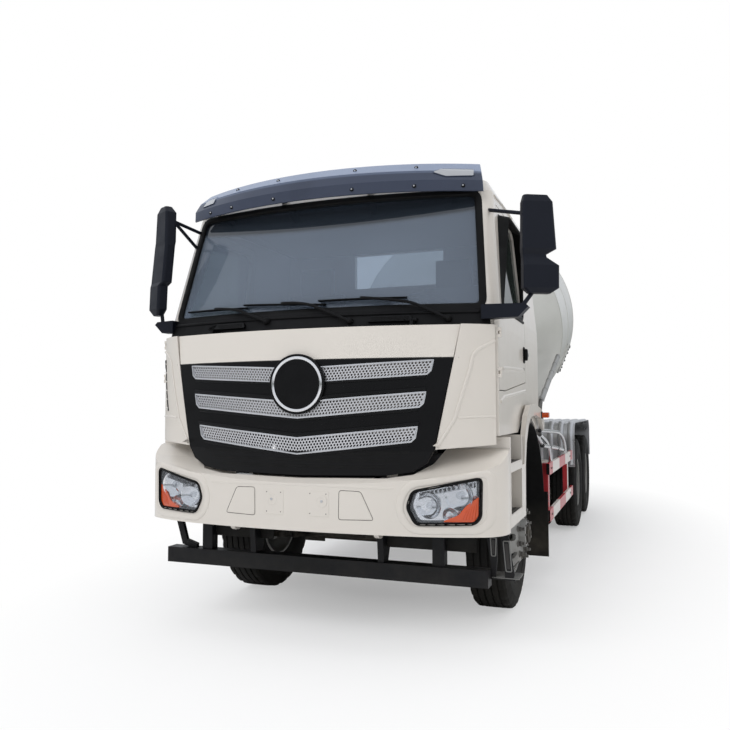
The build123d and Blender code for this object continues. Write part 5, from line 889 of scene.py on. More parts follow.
TOW_COVER = ((0.285, 0.966), (0.420, 0.963), (0.500, 0.797), (0.282, 0.792))
covers = [rounded(facing(sign, TOW_COVER), 0.018) for sign in (1, -1)]
band("tow_cover_lines", covers, bumper_face, flat_section(0.0045, -0.002, 0.0006), line_dark, "chassis")
small = [[(u + (0.368 * (1 if u > 0 else -1) - u) * 0.05, v + (0.88 - v) * 0.05) for u, v in c]
         for c in covers]
plates("tow_covers", small, bumper_face, -0.002, 0.0022, cab_paint, "chassis", cell=0.06, bevel=0.0015)
PADS = ((-0.216, -0.082), (0.080, 0.221))
pads = [pad(a, 0.806, b, 0.957, 0.010) for a, b in PADS]
plates("plate_pads", pads, bumper_face, -0.002, 0.0018, cab_paint, "chassis", cell=0.05, bevel=0.002)
DIMPLES = ((-0.165, 0.897), (0.174, 0.896))
saucers = [disc_stack([(-0.002, 0.037), (0.0020, 0.0365), (0.0032, 0.030), (0.0010, 0.021), (-0.0010, 0.012)],
                      (0, -1, 0), bumper_face(x, z, 0.0015), 36) for x, z in DIMPLES]
mesh_object("plate_saucers", *gather(saucers), cab_paint, "chassis")
studs("plate_bolts", [bumper_face(x, z, 0.0) for x, z in DIMPLES], (0, -1, 0), 0.0085, 0.0045, aluminium,
      "chassis", segments=12)
corners = [(x + dx, z) for (a, b) in PADS for x, dx in ((a, 0.018), (b, -0.018)) for z in (0.822, 0.941)]
studs("plate_holes", [bumper_face(x, z, 0.0016) for x, z in corners], (0, -1, 0), 0.0032, 0.0008, line_dark,
      "chassis", segments=10, dome=0.0)
SENSORS = ((0.825, 0.738), (0.886, 0.742), (0.952, 0.748), (1.069, 0.756))
eyes = [bumper_face(sign * x, z, 0.0) for x, z in SENSORS for sign in (1, -1)]
studs("bumper_holes", eyes, (0, -1, 0), 0.0062, 0.0012, line_dark, "chassis", segments=14, dome=0.0)
band("bumper_crease", [[(-0.62, 0.985), (-0.30, 0.990), (0.0, 0.992), (0.30, 0.990), (0.62, 0.985)]],
     bumper_face, round_section(0.016, 0.0015, -0.002), cab_paint, "chassis", closed=False)

# Windscreen, cowl and wipers
screen_face = front_of(screen_y)
glass_line = rounded([(-1.098, 2.075), (1.098, 2.075), (1.026, 2.850), (-1.026, 2.850)], 0.060, 8)
band("screen_rubber", [glass_line], screen_face,
     [(-0.024, -0.014), (-0.024, 0.001), (-0.017, 0.006), (0.010, 0.007), (0.020, 0.001), (0.024, -0.014)],
     gasket, "cab")
band("screen_header", [[(-1.03 + 0.0515 * k, 2.905) for k in range(41)]],
     front_of(caster("cab_shell")), flat_section(0.130, -0.004, 0.012), gasket, "cab", closed=False)
cowl_face = front_of(caster("cowl", "cab_shell"))
PIVOTS = (
    # pivot x, z, elbow x, z, blade right x, z, blade left x, z
    (-0.280, 2.018, -0.560, 2.128, -0.470, 2.128, -1.000, 2.136),
    (0.306, 1.995, -0.020, 2.138, 0.110, 2.118, -0.500, 2.150),
    (0.908, 1.995, 0.650, 2.122, 0.640, 2.142, 0.065, 2.144),
)
for index, (px, pz, ex, ez, rx, rz, lx, lz) in enumerate(PIVOTS):
    foot = cowl_face(px, pz, 0.0)
    boss = [(-0.006, 0.024), (0.016, 0.023), (0.026, 0.019), (0.034, 0.012)]
    turned(f"wiper_boss_{index}", boss, (0, -1, 0.25), foot, 20, black_satin, "cab")
    middle = ((rx + lx) / 2, (rz + lz) / 2)
    knee = screen_face(px * 0.55 + ex * 0.45, pz * 0.55 + ez * 0.45, 0.050)
    path = [foot + Vector((0, -0.024, 0)), foot + Vector((-0.02, -0.030, 0.012)), knee,
            screen_face(ex, ez, 0.044), screen_face(middle[0], middle[1] + 0.006, 0.030)]
    tube(f"wiper_arm_{index}", path, 0.0095, black_satin, "cab")
    run = [(rx + (lx - rx) * k / 6, rz + (lz - rz) * k / 6) for k in range(7)]
    band(f"wiper_blade_{index}", [run], screen_face, [(-0.006, -0.006), (-0.006, 0.012), (-0.002, 0.020),
         (0.002, 0.020), (0.006, 0.012), (0.006, -0.006)], black_satin, "cab", closed=False)
    bow_run = [screen_face(u, v, 0.022 + 0.012 * math.sin(math.pi * k / 6)) for k, (u, v) in enumerate(run)]
    tube(f"wiper_bow_{index}", bow_run, 0.004, black_satin, "cab")
VENTS = ((-0.718, -0.434), (0.416, 0.707))
vent_outlines = [rounded([(a, 1.985), (b, 1.985), (b - 0.02, 2.022), (a + 0.02, 2.022)], 0.014) for a,
                 b in VENTS]
plates("cowl_vents", vent_outlines, cowl_face, -0.004, 0.022, black_gloss, "cab", cell=0.04, bevel=0.006)
louvres = [[(a + 0.03, z), (b - 0.03, z)] for a, b in VENTS for z in (1.994, 2.003, 2.012)]
band("vent_louvres", louvres, cowl_face, flat_section(0.004, 0.018, 0.0245), gasket, "cab", closed=False)
band("cowl_lip", [[(-1.085, 2.040), (-0.5, 2.040), (0.5, 2.040), (1.085, 2.040)]], cowl_face,
     round_section(0.020, 0.012), black_satin, "cab", closed=False)

# Sun visor: rivets and marker lamps
visor_face = front_of(caster("sun_visor"))
LOWER_RIVETS = (-0.892, -0.675, -0.307, 0.266, 0.664, 0.958)
UPPER_RIVETS = (-0.668, -0.304, 0.263, 0.657)
spots = [visor_face(x, 2.868, 0.0) for x in LOWER_RIVETS] + [visor_face(x, 3.010, 0.0) for x in UPPER_RIVETS]
studs("visor_washers", spots, (0, -1, 0.2), 0.013, 0.0045, black_gloss, "cab", segments=16)
tips = [spot + Vector((0, -0.004, 0.001)) for spot in spots]
studs("visor_rivets", tips, (0, -1, 0.2), 0.0055, 0.0045, aluminium, "cab", segments=12)
ARROW = ((0.772, 2.962), (0.815, 2.998), (1.012, 2.998), (1.020, 2.938), (0.855, 2.930))
FAR_ARROW = ((-0.992, 2.928), (-0.962, 2.992), (-0.862, 2.996), (-0.868, 2.934))
arrows = [rounded(list(ARROW), 0.012), rounded(list(FAR_ARROW), 0.010)]
plates("marker_lamps", arrows, visor_face, -0.003, 0.006, marker_lens, "cab", cell=0.04, bevel=0.003)
band("marker_edges", arrows, visor_face, round_section(0.008, 0.0075, -0.002), smoked_plastic, "cab")
band("visor_fold", [[(x, 2.975) for x in (-1.04, -0.7, -0.35, 0.0, 0.35, 0.7, 1.04)]], visor_face,
     round_section(0.010, 0.003, -0.002), smoked_plastic, "cab", closed=False)

# Corner panels: creases and the right-hand air slit
CREASE = ((1.178, 1.862), (1.092, 1.806), (1.062, 1.770), (1.046, 1.690), (0.958, 1.388), (0.894, 1.283),
          (0.862, 1.232))
corner_face = front_of(caster("corner_panels"))
for side, sign in SIDES:
    line = [(sign * x, z) for x, z in CREASE]
    band(f"corner_crease_{side}", [line], corner_face, round_section(0.020, 0.0075, -0.004), cab_paint, "cab",
         closed=False)
    fold = [(sign * x, z) for x, z in ((0.985, 1.398), (1.06, 1.402), (1.12, 1.404), (1.176, 1.405))]
    band(f"corner_fold_{side}", [fold], corner_face, round_section(0.014, 0.004, -0.003), cab_paint, "cab",
         closed=False)
slit = [(-1.172, 1.800), (-1.160, 1.700), (-1.138, 1.560), (-1.106, 1.440)]
band("corner_slit", [slit], corner_face, flat_section(0.022, -0.004, 0.0015), gasket, "cab", closed=False)
bars = [[(-1.180 + 0.002 * k + 0.02 * (k / 5) ** 1.5, 1.775 - 0.062 * k),
         (-1.150 + 0.002 * k + 0.032 * (k / 5) ** 1.5, 1.768 - 0.062 * k)] for k in range(6)]
band("slit_louvres", bars, corner_face, round_section(0.008, 0.006), cab_paint, "cab", closed=False)

# Doors, windows and steps
DOOR_WINDOW = ((0.446, 2.095), (0.690, 2.735), (1.240, 2.735), (1.280, 2.695), (1.280, 2.095))
HANDLE = (
    # name, corners with radius and steps, lifts of back and face, material, edge rounding
    ("handle_cup", (1.236, 1.782, 1.322, 1.900, 0.034, 8), -0.004, 0.006, black_satin, 0.003),
    ("handle_grip", (1.252, 1.800, 1.290, 1.886, 0.016, 6), 0.002, 0.030, black_gloss, 0.008),
    ("handle_paddle", (1.280, 1.828, 1.345, 1.862, 0.014, 6), 0.012, 0.026, black_gloss, 0.006),
)
SIDE_MARKER = (
    # name, corners with radius, lifts of back and face, material, edge rounding
    ("side_marker", (1.812, 1.380, 1.884, 1.422, 0.010), -0.002, 0.056, amber_lens, 0.004),
    ("marker_base", (1.805, 1.373, 1.891, 1.429, 0.010), -0.003, 0.007, black_satin, 0.002),
)
ARCH_CREASE = ((0.330, 1.494), (0.46, 1.524), (0.82, 1.546), (1.32, 1.580))
for side, sign in SIDES:
    door = side_of(sign, f"door_{side}")
    body = f"door_{side}"
    loop = rounded(list(DOOR_WINDOW), 0.035)
    band(f"window_rubber_{side}", [loop], door,
         [(-0.020, -0.012), (-0.020, 0.001), (-0.012, 0.005), (0.008, 0.005),
         (0.016, 0.000), (0.016, -0.012)], gasket, body)
    band(f"window_sill_{side}", [[(0.40, 2.080), (0.8, 2.080), (1.290, 2.080)]], door,
         round_section(0.022, 0.010), black_satin, body, closed=False)
    pad_pieces(HANDLE, side, door, body)
    studs(f"door_lock_{side}", [door(1.272, 1.736, 0.0)], (sign, 0, 0), 0.011, 0.004, nut_metal, body,
          segments=20)
    swage = [(0.42, 1.700), (0.80, 1.716), (1.30, 1.728)]
    band(f"door_swage_{side}", [swage], door, round_section(0.030, 0.003, -0.002), cab_paint, body,
         closed=False)
    shell = side_of(sign, "cab_shell", "corner_panels", "front_fenders")
    band(f"arch_crease_{side}", [list(ARCH_CREASE)], shell, round_section(0.026, 0.007, -0.004), cab_paint,
         "cab", closed=False)
    band(f"gutter_{side}", [[(0.62, 2.850), (0.9, 2.868), (1.32, 2.868)]], shell, round_section(0.018, 0.010),
         cab_paint, "cab", closed=False)

    fender = side_of(sign, "front_fenders")
    for level, z in (("upper", 1.112), ("lower", 0.800)):
        xs = sorted((sign * 0.990, sign * 1.232))
        boxes(f"tread_{level}_{side}", [((xs[0], CAB + 0.384, z - 0.003), (xs[1], CAB + 0.778, z + 0.006))],
              black_satin, "chassis", bevel=0.002)
        grid = [Vector((sign * (1.010 + 0.034 * i), CAB + 0.405 + 0.032 * j, z + 0.005))
                for i in range(7) for j in range(12)]
        cups = [disc_stack([(-0.001, 0.0095), (0.003, 0.0085), (0.0032, 0.0055), (0.0006, 0.005)], (0, 0, 1),
                           p, 12)
                for p in grid]
        mesh_object(f"tread_cups_{level}_{side}", *gather(cups), nut_metal, "chassis")
        lip = [Vector((sign * 1.233, CAB + s, z + 0.001)) for s in (0.376, 0.5, 0.65, 0.786)]
        tube(f"step_lip_{level}_{side}", lip, 0.0065, white_paint, "chassis")
    pad_pieces(SIDE_MARKER, side, fender, "chassis")

# Tyres with their tread, and wheel nuts
TREAD = (
    # across, radius, cut depth of the lug rows
    (0.115, 0.286, 0.0), (0.121, 0.300, 0.0), (0.1275, 0.316, 0.0), (0.1275, 0.322, 0.0), (0.132, 0.334, 0.0),
    (0.140, 0.365, 0.0), (0.1445, 0.405, 0.0), (0.1442, 0.440, 0.0), (0.1415, 0.470, 0.0),
    (0.1395, 0.474, 0.003),
    (0.1375, 0.492, 0.006), (0.1325, 0.503, 0.009), (0.127, 0.524, 0.011), (0.111, 0.5375, 0.011),
    (0.0805, 0.5392, 0.009), (0.0785, 0.5270, 0.0), (0.0695, 0.5270, 0.0), (0.0675, 0.5395, 0.0),
    (0.0320, 0.5399, 0.0), (0.0300, 0.5275, 0.0), (0.0220, 0.5275, 0.0), (0.0200, 0.5399, 0.0),
)
SEGMENTS = 112
NUTS = 10
NUT_CIRCLE = 0.1675
HUB_BOLTS = 8
HUB_CIRCLE = 0.088


def tread_tyre(x, y):
    """Tyre with round grooves and notched shoulders."""
    rows = list(TREAD) + [(-across, radius, cut) for across, radius, cut in reversed(TREAD)]
    verts, faces = [], []
    for across, radius, cut in rows:
        for k in range(SEGMENTS):
            a = 2 * math.pi * k / SEGMENTS
            r = radius - (cut if k % 4 == 0 else 0.0)
            verts.append((x + across, y + r * math.sin(a), AXLE_Z - r * math.cos(a)))
    for row in range(len(rows) - 1):
        for k in range(SEGMENTS):
            a, b = row * SEGMENTS + k, row * SEGMENTS + (k + 1) % SEGMENTS
            faces.append((a, b, b + SEGMENTS, a + SEGMENTS))
    last = (len(rows) - 1) * SEGMENTS
    faces += [(last + k, last + (k + 1) % SEGMENTS, (k + 1) % SEGMENTS, k) for k in range(SEGMENTS)]
    return verts, faces


WHEELS = (("front", FRONT_AXLE, (0.966,), 0.966),) + tuple((place, y, (0.750, 1.090), 1.090)
                                                         for place, y in REAR_AXLES)
for place, y, middles, outer in WHEELS:
    for side, sign in SIDES:
        body = f"wheel_{place}_{side}"
        verts, faces = gather([tread_tyre(sign * x, y) for x in middles])
        dressed = mesh_object(f"tread_{place}_{side}", verts, faces, tyre_rubber, body)
        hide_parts(f"tyre_{place}_{side}")
        marks = []
        for x in middles:
            for face_sign in (1, -1):
                centre = (sign * x + face_sign * 0.1405, y, AXLE_Z)
                for radius in (0.362, 0.452):
                    width = 0.0025
                    lean = 0.0 if radius > 0.4 else -0.0035
                    rows = [(-0.004 + lean, radius - width * 2), (0.0045 + lean, radius - width),
                            (0.0045 + lean, radius + width), (-0.004 + lean, radius + width * 2)]
                    verts, faces = disc_stack(rows, (face_sign, 0, 0), centre, 72)
                    marks.append((verts, faces[:-2]))
        mesh_object(f"sidewall_rings_{place}_{side}", *gather(marks), tyre_rubber, body)
        rim_face = side_of(sign, f"rim_{place}_{side}")
        nuts, washers = [], []
        for k in range(NUTS):
            a = 2 * math.pi * (k + 0.5) / NUTS
            spot = rim_face(y - CAB + NUT_CIRCLE * math.cos(a), AXLE_Z + NUT_CIRCLE * math.sin(a), 0.0)
            washers.append(disc_stack([(-0.004, 0.025), (0.004, 0.024), (0.007, 0.021)], (sign, 0, 0), spot,
                                      18))
            nuts.append(disc_stack([(0.002, 0.0185), (0.024, 0.0185), (0.028, 0.0155)], (sign, 0, 0), spot,
                                   6))
            nuts.append(disc_stack([(0.020, 0.0115), (0.046, 0.0115), (0.049, 0.0095)], (sign, 0, 0), spot,
                                   14))
        mesh_object(f"nut_washers_{place}_{side}", *gather(washers), nut_metal, body)
        mesh_object(f"wheel_nuts_{place}_{side}", *gather(nuts), nut_metal, body, smooth=False)
        spot = rim_face(y - CAB, AXLE_Z, 0.0)
        cap = [(-0.010, 0.072), (0.010, 0.071), (0.016, 0.064), (0.018, 0.030), (0.024, 0.027),
               (0.026, 0.018)]
        turned(f"hub_cap_{place}_{side}", cap, (sign, 0, 0), spot, 32, iron, body)
        ring_bolts = []
        for k in range(HUB_BOLTS):
            a = 2 * math.pi * k / HUB_BOLTS
            ring_bolts.append(rim_face(y - CAB + HUB_CIRCLE * math.cos(a), AXLE_Z + HUB_CIRCLE * math.sin(a),
                                       0.0))
        studs(f"hub_bolts_{place}_{side}", ring_bolts, (sign, 0, 0), 0.0075, 0.010, nut_metal, body)
        lip_x = sign * (max(middles) + 0.118)
        lip = [(-0.012, 0.2862), (0.003, 0.2880), (0.005, 0.2845), (0.003, 0.2790), (-0.012, 0.2765)]
        verts, faces = disc_stack(lip, (sign, 0, 0), (lip_x, y, AXLE_Z), 72)
        mesh_object(f"rim_lip_{place}_{side}", verts, faces[:-2], rim_metal, body)
        valve = rim_face(y - CAB + 0.235, AXLE_Z + 0.06, 0.0)
        tube(f"valve_{place}_{side}", [valve, valve + Vector((sign * 0.02, 0.01, 0.004)),
             valve + Vector((sign * 0.045, 0.022, 0.008))], 0.004, nut_metal, body)

# Slots, rims and foot plate of the step bracket at the left end of the under-run bar
bracket = front_of(caster("underrun_bar"))
BRACKET_SLOTS = (((1.128, 0.668), (1.146, 0.668), (1.143, 0.585), (1.132, 0.585)),
                 ((1.205, 0.650), (1.226, 0.650), (1.236, 0.500), (1.218, 0.500)))
BRACKET_RIMS = (((1.120, 0.680), (1.154, 0.680), (1.150, 0.572), (1.125, 0.572)),
                ((1.196, 0.664), (1.232, 0.664), (1.245, 0.486), (1.211, 0.486)))
plates("bracket_slots_left", [rounded(c, 0.006, 3) for c in BRACKET_SLOTS], bracket, -0.001, 0.0012,
       line_dark, "chassis", cell=0.2, bevel=0.0)
band("bracket_rims_left", [rounded(c, 0.008, 3) for c in BRACKET_RIMS], bracket, round_section(0.008, 0.004),
     bracket_grey, "chassis")
FOOT_IN, FOOT_OUT = 1.125, 1.290
boxes("foot_plate_left", [((FOOT_IN, CAB + 0.312, 0.443), (FOOT_OUT, CAB + 0.474, 0.449))], bracket_grey,
      "chassis", bevel=0.002)
ridges = [((FOOT_IN + 0.010, CAB + 0.326 + 0.020 * k, 0.448),
           (FOOT_OUT - 0.010, CAB + 0.334 + 0.020 * k, 0.4545))
          for k in range(7)]
boxes("foot_ridges_left", ridges, bracket_grey, "chassis", bevel=0.0015)

# Rubber apron below the bumper
APRON = ((-0.880, -0.330, 0.585), (-0.330, 0.470, 0.652), (0.470, 1.040, 0.585))
boxes("bumper_apron", [((a, CAB + 0.300, low), (b - 0.004, CAB + 0.309, 0.722)) for a, b, low in APRON],
      flap_rubber, "chassis", bevel=0.003)

# Side guards: posts, end caps, collars and grab loops; the spare chute on the left
for side, sign in SIDES:
    for k, s in enumerate((2.450, 4.150)):
        xs = sorted((sign * 1.1655, sign * 1.2145))
        spots = [Vector((sign * 1.2395, CAB + s + dy, z)) for z in (0.543, 0.937) for dy in (-0.02, 0.02)]
        studs(f"guard_bolts_{side}_{k}", spots, (sign, 0, 0), 0.009, 0.006, nut_metal, "chassis")
        post = ((xs[0] - 0.0015, CAB + s - 0.0415, 0.505), (xs[1] - 0.0015, CAB + s + 0.0415, 0.975))
        boxes(f"guard_post_{side}_{k}", [post], red_paint, "chassis", bevel=0.004)
    for k, (z0, z1) in enumerate(((0.493, 0.593), (0.887, 0.987))):
        for end, s in (("front", 2.300), ("back", 4.450)):
            xs = sorted((sign * 1.2135, sign * 1.2395))
            cap = ((xs[0], CAB + s - 0.004, z0 + 0.004), (xs[1], CAB + s + 0.004, z1 - 0.004))
            boxes(f"guard_cap_{side}_{k}_{end}", [cap], black_satin, "chassis", bevel=0.003)
    bands = [Vector((sign * 1.222, CAB + s, z)) for s, z in ((2.52, 1.118), (3.15, 1.075), (3.70, 1.030))]
    inward = Vector((sign * 0.007, 0, 0))
    collars = [disc_stack([(-0.016, 0.022), (0.016, 0.022)], (0, 1, -0.07), p - inward, 24) for p in bands]
    mesh_object(f"tube_collars_{side}", *gather(collars), bracket_grey, "chassis")
    loops = (
        ((1.900, 1.275), (3.077, 1.236), (3.450, 1.205), (3.700, 1.150), (3.850, 1.085), (3.905, 1.000),
         (3.908, 0.975)),
        ((1.900, 1.245), (2.233, 1.192), (2.420, 1.140), (2.530, 1.070), (2.569, 1.000), (2.571, 0.975)),
    )
    for k, loop in enumerate(loops):
        tube(f"grab_loop_{k}_{side}", [Vector((sign * 1.215, CAB + s, z)) for s, z in loop], 0.017,
             stainless, "chassis")

CHUTE_FROM = Vector((1.150, CAB + 2.520, 1.500))
CHUTE_TO = Vector((1.150, CAB + 3.980, 2.000))
run = (CHUTE_TO - CHUTE_FROM).normalized()
out = Vector((1, 0, 0))
rise = out.cross(run)
FLATTEN = 0.55
CHUTE_RINGS = 6


def trough(start, finish, radius, thick):
    """Part of a round trough between two points."""
    opening, steps = 150.0, 16
    verts, faces = [], []
    for r in (radius, radius - thick):
        for base in (start, finish):
            for k in range(steps + 1):
                a = math.radians(180 - opening / 2 + opening * k / steps)
                turn = a - math.pi / 2
                verts.append(base + rise * math.sin(turn) * r + out * math.cos(turn) * r * FLATTEN)
    wide = steps + 1
    for k in range(steps):
        faces += [(k, k + 1, wide + k + 1, wide + k),
                  (2 * wide + k, 3 * wide + k, 3 * wide + k + 1, 2 * wide + k + 1)]
        faces += [(k, 2 * wide + k, 2 * wide + k + 1, k + 1),
                  (wide + k, wide + k + 1, 3 * wide + k + 1, 3 * wide + k)]
    for edge in (0, steps):
        faces.append((edge, wide + edge, 3 * wide + edge, 2 * wide + edge))
    return verts, faces


shapes = [trough(CHUTE_FROM, CHUTE_TO, 0.046, 0.004)]
for k in range(CHUTE_RINGS):
    near = CHUTE_FROM + run * (0.02 + 0.295 * k)
    shapes.append(trough(near, near + run * 0.020, 0.049, 0.006))
mesh_object("spare_chute", *gather(shapes), rim_metal, "chassis")
strut_feet = ((0.43, 2.62), (0.43, 2.78))
for k, (x, s) in enumerate(strut_feet):
    along_run = (s - 2.520) / 1.460
    top = CHUTE_FROM + (CHUTE_TO - CHUTE_FROM) * along_run
    bends = ((x, 1.02), (1.06, 1.10), (1.10, 1.20), (1.115, top.z - 0.05), (1.140, top.z + 0.03))
    tube(f"chute_strut_{k}", [(u, CAB + s, z) for u, z in bends], 0.013, bracket_grey, "chassis")

# Rear fenders with wide ribs over their curved fronts
FENDER_FRONT, FENDER_TOP, FENDER_TURN = 4.765, 1.290, 0.190
for side, sign in SIDES:
    path = [(FENDER_FRONT, 0.800), (FENDER_FRONT, 0.950), (FENDER_FRONT, FENDER_TOP - FENDER_TURN)]
    path += [(FENDER_FRONT + FENDER_TURN * (1 - math.cos(math.radians(a))),
              FENDER_TOP - FENDER_TURN * (1 - math.sin(math.radians(a)))) for a in range(10, 91, 10)]
    path += [(FENDER_FRONT + FENDER_TURN + 0.2 * k, FENDER_TOP) for k in range(1, 11)]
    verts, faces = [], []
    for x0 in (0.700, 0.815, 0.930, 1.045, 1.155):
        start = len(verts)
        section = [(0.0, -0.001), (0.006, 0.010), (0.020, 0.016), (0.048, 0.016), (0.062, 0.010),
                   (0.068, -0.001)]
        for k, (s, z) in enumerate(path):
            before, after = path[max(0, k - 1)], path[min(len(path) - 1, k + 1)]
            tangent = Vector((after[0] - before[0], after[1] - before[1])).normalized()
            normal = Vector((-tangent.y, tangent.x))
            for across, lift in section:
                verts.append((sign * (x0 + across), CAB + s + normal.x * lift, z + normal.y * lift))
        wide = len(section)
        for k in range(len(path) - 1):
            for j in range(wide):
                a, b = start + k * wide, start + (k + 1) * wide
                faces.append((a + j, a + (j + 1) % wide, b + (j + 1) % wide, b + j))
        faces += [tuple(range(start, start + wide)), tuple(range(len(verts) - wide, len(verts)))]
    mesh_object(f"fender_ribs_{side}", verts, faces, aluminium, "chassis")

# Drum: weld seams, and bolts round its ring
TILT = math.radians(12.0)
DRUM_AXIS = Vector((0, math.cos(TILT), math.sin(TILT)))
DRUM_CENTRE = Vector((0, CAB + 5.100, 2.530))
SEAMS = ((-2.400, 0.460), (-1.700, 0.810), (-0.950, 1.185), (-0.250, 1.185), (0.450, 1.185), (1.200, 0.999),
         (2.000, 0.800), (2.740, 0.562))
welds = []
for along_axis, radius in SEAMS:
    rows = [(-0.010, radius - 0.003), (-0.004, radius + 0.0035), (0.004, radius + 0.0035),
            (0.010, radius - 0.003)]
    verts, faces = disc_stack(rows, DRUM_AXIS, DRUM_CENTRE + DRUM_AXIS * along_axis, 128)
    welds.append((verts, faces[:-2]))
mesh_object("drum_welds", *gather(welds), drum_paint, "drum")
side_axis, up_axis = basis(DRUM_AXIS)
HATCH_TURN = 0.4
HATCH_BOLTS = 10
lids, bolts = [], []
for k in range(2):
    a = math.pi * k + HATCH_TURN
    radial = side_axis * math.cos(a) + up_axis * math.sin(a)
    tangent = radial.cross(DRUM_AXIS)
    lids.append(disc_stack([(-0.010, 0.20), (0.010, 0.20), (0.016, 0.185), (0.018, 0.05)], radial,
                           DRUM_CENTRE + radial * 1.183, 40))
    for j in range(HATCH_BOLTS):
        b = 2 * math.pi * j / HATCH_BOLTS
        spot = DRUM_CENTRE + radial * 1.199 + (tangent * math.cos(b) + DRUM_AXIS * math.sin(b)) * 0.165
        bolts.append((spot, radial))
mesh_object("drum_hatches", *gather(lids), drum_paint, "drum")
studs("hatch_bolts", bolts, (0, 0, 1), 0.012, 0.012, nut_metal, "drum")

# Tanks: straps, caps, lids and gauge
verts, faces = [], []
for s in (2.85, 3.65):
    loop = pad(-1.102, 0.408, -0.498, 0.992, 0.092, 8)
    start, total = len(verts), len(loop)
    for grow in (0.0, 0.006):
        for shift in (-0.03, 0.03):
            for x, z in loop:
                cx, cz = x + 0.8, z - 0.7
                verts.append((-0.8 + cx * (1 + grow / 0.3), CAB + s + shift, 0.7 + cz * (1 + grow / 0.29)))
    for k in range(total):
        n = (k + 1) % total
        a, b, c, d = start, start + total, start + 2 * total, start + 3 * total
        faces += [(a + k, a + n, b + n, b + k), (c + k, d + k, d + n, c + n), (a + k, c + k, c + n, a + n),
                  (b + k, b + n, d + n, d + k)]
mesh_object("tank_straps", verts, faces, stainless, "chassis")
filler = [(-0.01, 0.055), (0.030, 0.055), (0.032, 0.062), (0.060, 0.062), (0.066, 0.055)]
turned("tank_cap", filler, (-0.3, 0, 1), (-1.02, CAB + 2.76, 0.985), 32, black_satin, "chassis")
turned("tank_gauge", [(-0.01, 0.04), (0.014, 0.038), (0.016, 0.03)], (0, 0, 1),
            (-0.80, CAB + 3.2, 0.990), 24, black_satin, "chassis")
boxes("battery_lid", [((0.514, CAB + 2.513, 0.930), (1.006, CAB + 3.157, 0.986))], black_satin, "chassis",
      bevel=0.008)
ribs = [((1.0, CAB + 2.58 + 0.09 * k, 0.60), (1.007, CAB + 2.62 + 0.09 * k, 0.91)) for k in range(6)]
boxes("battery_ribs", ribs, black_satin, "chassis", bevel=0.003)
bands = [disc_stack([(-0.02, 0.108), (0.02, 0.108)], (0, 1, 0), (0.760, CAB + s, z), 40)
         for z in (0.660, 0.900) for s in (3.42, 3.86)]
mesh_object("air_tank_bands", *gather(bands), black_satin, "chassis")

# Tail lamps and plate pad on the rear beam
rear_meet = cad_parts["rear_bumper"]
corner = [rear_meet.matrix_world @ Vector(c) for c in rear_meet.bound_box]
REAR_Y = max(c.y for c in corner)
for side, sign in SIDES:
    for k, (x, width, lens) in enumerate(((0.800, 0.105, red_lens), (0.935, 0.105, amber_lens),
                                          (1.075, 0.105, red_lens))):
        xs = sorted((sign * (x - width / 2), sign * (x + width / 2)))
        boxes(f"tail_lamp_{side}_{k}", [((xs[0], REAR_Y - 0.022, 0.660), (xs[1], REAR_Y + 0.012, 0.765))],
              lens, "chassis", bevel=0.008)
boxes("rear_plate_pad", [((-0.26, REAR_Y - 0.008, 0.530), (0.26, REAR_Y + 0.004, 0.630))], white_paint,
      "chassis", bevel=0.003)

# Camera, light, floor and background
camera = bpy.data.cameras.new("camera")
camera.lens = 35.83
camera.sensor_width = 36.0
camera.clip_end = 200.0
view = linked("camera", camera)
view.location = (1.990, -8.601, 1.449)
view.rotation_euler = (math.radians(90.0 + 3.49), math.radians(0.09), math.radians(20.86))
bpy.context.scene.camera = view


def area_light(name, place, target, size, power, color=(1, 1, 1)):
    """Soft rectangular light aimed at a point."""
    data = bpy.data.lights.new(name, "AREA")
    data.shape = "RECTANGLE"
    data.size, data.size_y = size
    data.energy = power
    data.color = color
    obj = linked(name, data)
    obj.location = place
    obj.visible_glossy = False
    obj.rotation_euler = (Vector(target) - Vector(place)).to_track_quat("-Z", "Y").to_euler()


area_light("sky_front", (-4.0, -13.0, 9.0), (0, -3.5, 1.2), (9.0, 6.0), 700.0, (0.97, 0.98, 1.0))
area_light("sky_side", (10.0, -4.0, 6.0), (0, -1.0, 1.4), (9.0, 5.0), 230.0, (1.0, 0.99, 0.97))
area_light("sky_top", (0.0, 0.0, 11.0), (0, 0, 0), (12.0, 14.0), 430.0, (0.96, 0.98, 1.0))

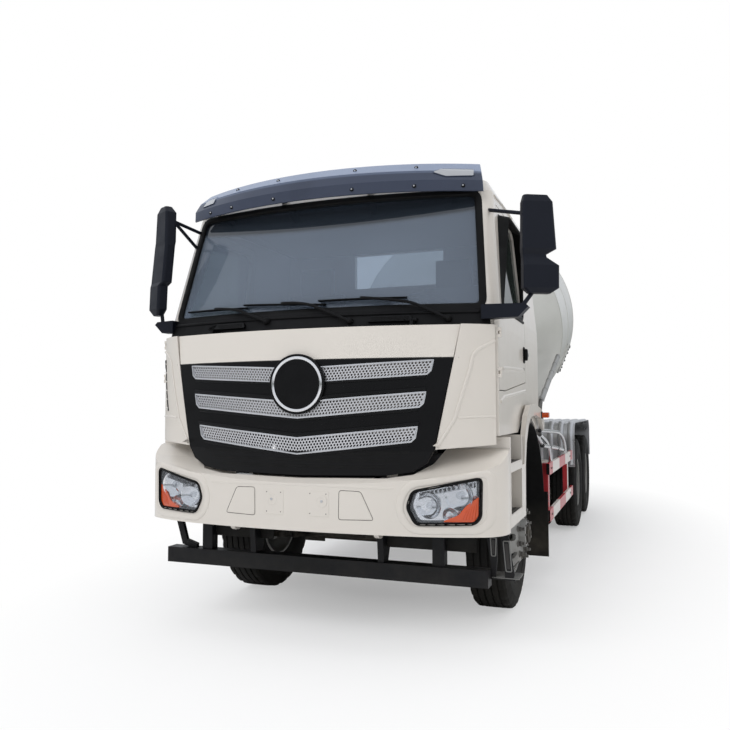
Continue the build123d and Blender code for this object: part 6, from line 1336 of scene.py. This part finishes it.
world = bpy.data.worlds.new("studio")
bpy.context.scene.world = world
world.use_nodes = True
nodes, links = world.node_tree.nodes, world.node_tree.links
background = nodes["Background"]
path = nodes.new("ShaderNodeLightPath")
sky = nodes.new("ShaderNodeTexCoord")
direction = split(nodes, links, sky.outputs["Generated"])
gradient = nodes.new("ShaderNodeValToRGB")
gradient.color_ramp.elements[0].position = 0.44
gradient.color_ramp.elements[0].color = (0.10, 0.10, 0.095, 1.0)
gradient.color_ramp.elements[1].position = 0.60
gradient.color_ramp.elements[1].color = (0.80, 0.83, 0.88, 1.0)
middle = gradient.color_ramp.elements.new(0.52)
middle.color = (0.30, 0.32, 0.32, 1.0)
links.new(ramp(nodes, links, direction["Z"], -1.0, 1.0, 0.0, 1.0), gradient.inputs["Fac"])
plain = mix(nodes, links, path.outputs["Is Glossy Ray"], (0.54, 0.55, 0.57), gradient.outputs["Color"])
white = mix(nodes, links, path.outputs["Is Camera Ray"], plain, (1.0, 1.0, 1.0))
links.new(white, background.inputs["Color"])


def floor_material():
    """Pale floor that fades to the white background away from the truck."""
    material, nodes, links, shader, vector = tree_of("floor_white")
    cloud = noise(nodes, links, vector, 2.0, 3.0)
    tone = mix(nodes, links, cloud, (0.86, 0.86, 0.86), (0.90, 0.90, 0.90))
    links.new(tone, shader.inputs["Base Color"])
    fill(shader, {"Roughness": 0.9, "Specular IOR Level": 0.0})
    place = split(nodes, links, vector)
    x2 = math_node(nodes, links, "POWER", math_node(nodes, links, "DIVIDE", place["X"], 3.2), 2.0)
    y2 = math_node(nodes, links, "POWER", math_node(nodes, links, "DIVIDE", place["Y"], 7.0), 2.0)
    away = math_node(nodes, links, "SQRT", math_node(nodes, links, "ADD", x2, y2))
    fade = ramp(nodes, links, away, 0.45, 1.0, 0.35, 1.0)
    glow = nodes.new("ShaderNodeEmission")
    glow.inputs["Strength"].default_value = 1.0
    blend = nodes.new("ShaderNodeMixShader")
    links.new(fade, blend.inputs[0])
    links.new(shader.outputs[0], blend.inputs[1])
    links.new(glow.outputs[0], blend.inputs[2])
    path = nodes.new("ShaderNodeLightPath")
    camera_only = nodes.new("ShaderNodeMixShader")
    links.new(path.outputs["Is Camera Ray"], camera_only.inputs[0])
    links.new(shader.outputs[0], camera_only.inputs[1])
    links.new(blend.outputs[0], camera_only.inputs[2])
    links.new(camera_only.outputs[0], nodes["Material Output"].inputs["Surface"])
    return material


floor_mesh = bpy.data.meshes.new("floor")
floor_mesh.from_pydata([(-60, -60, -0.001), (60, -60, -0.001), (60, 60, -0.001), (-60, 60, -0.001)], [],
                       [(0, 1, 2, 3)])
floor = linked("floor", floor_mesh)
floor.data.materials.append(floor_material())
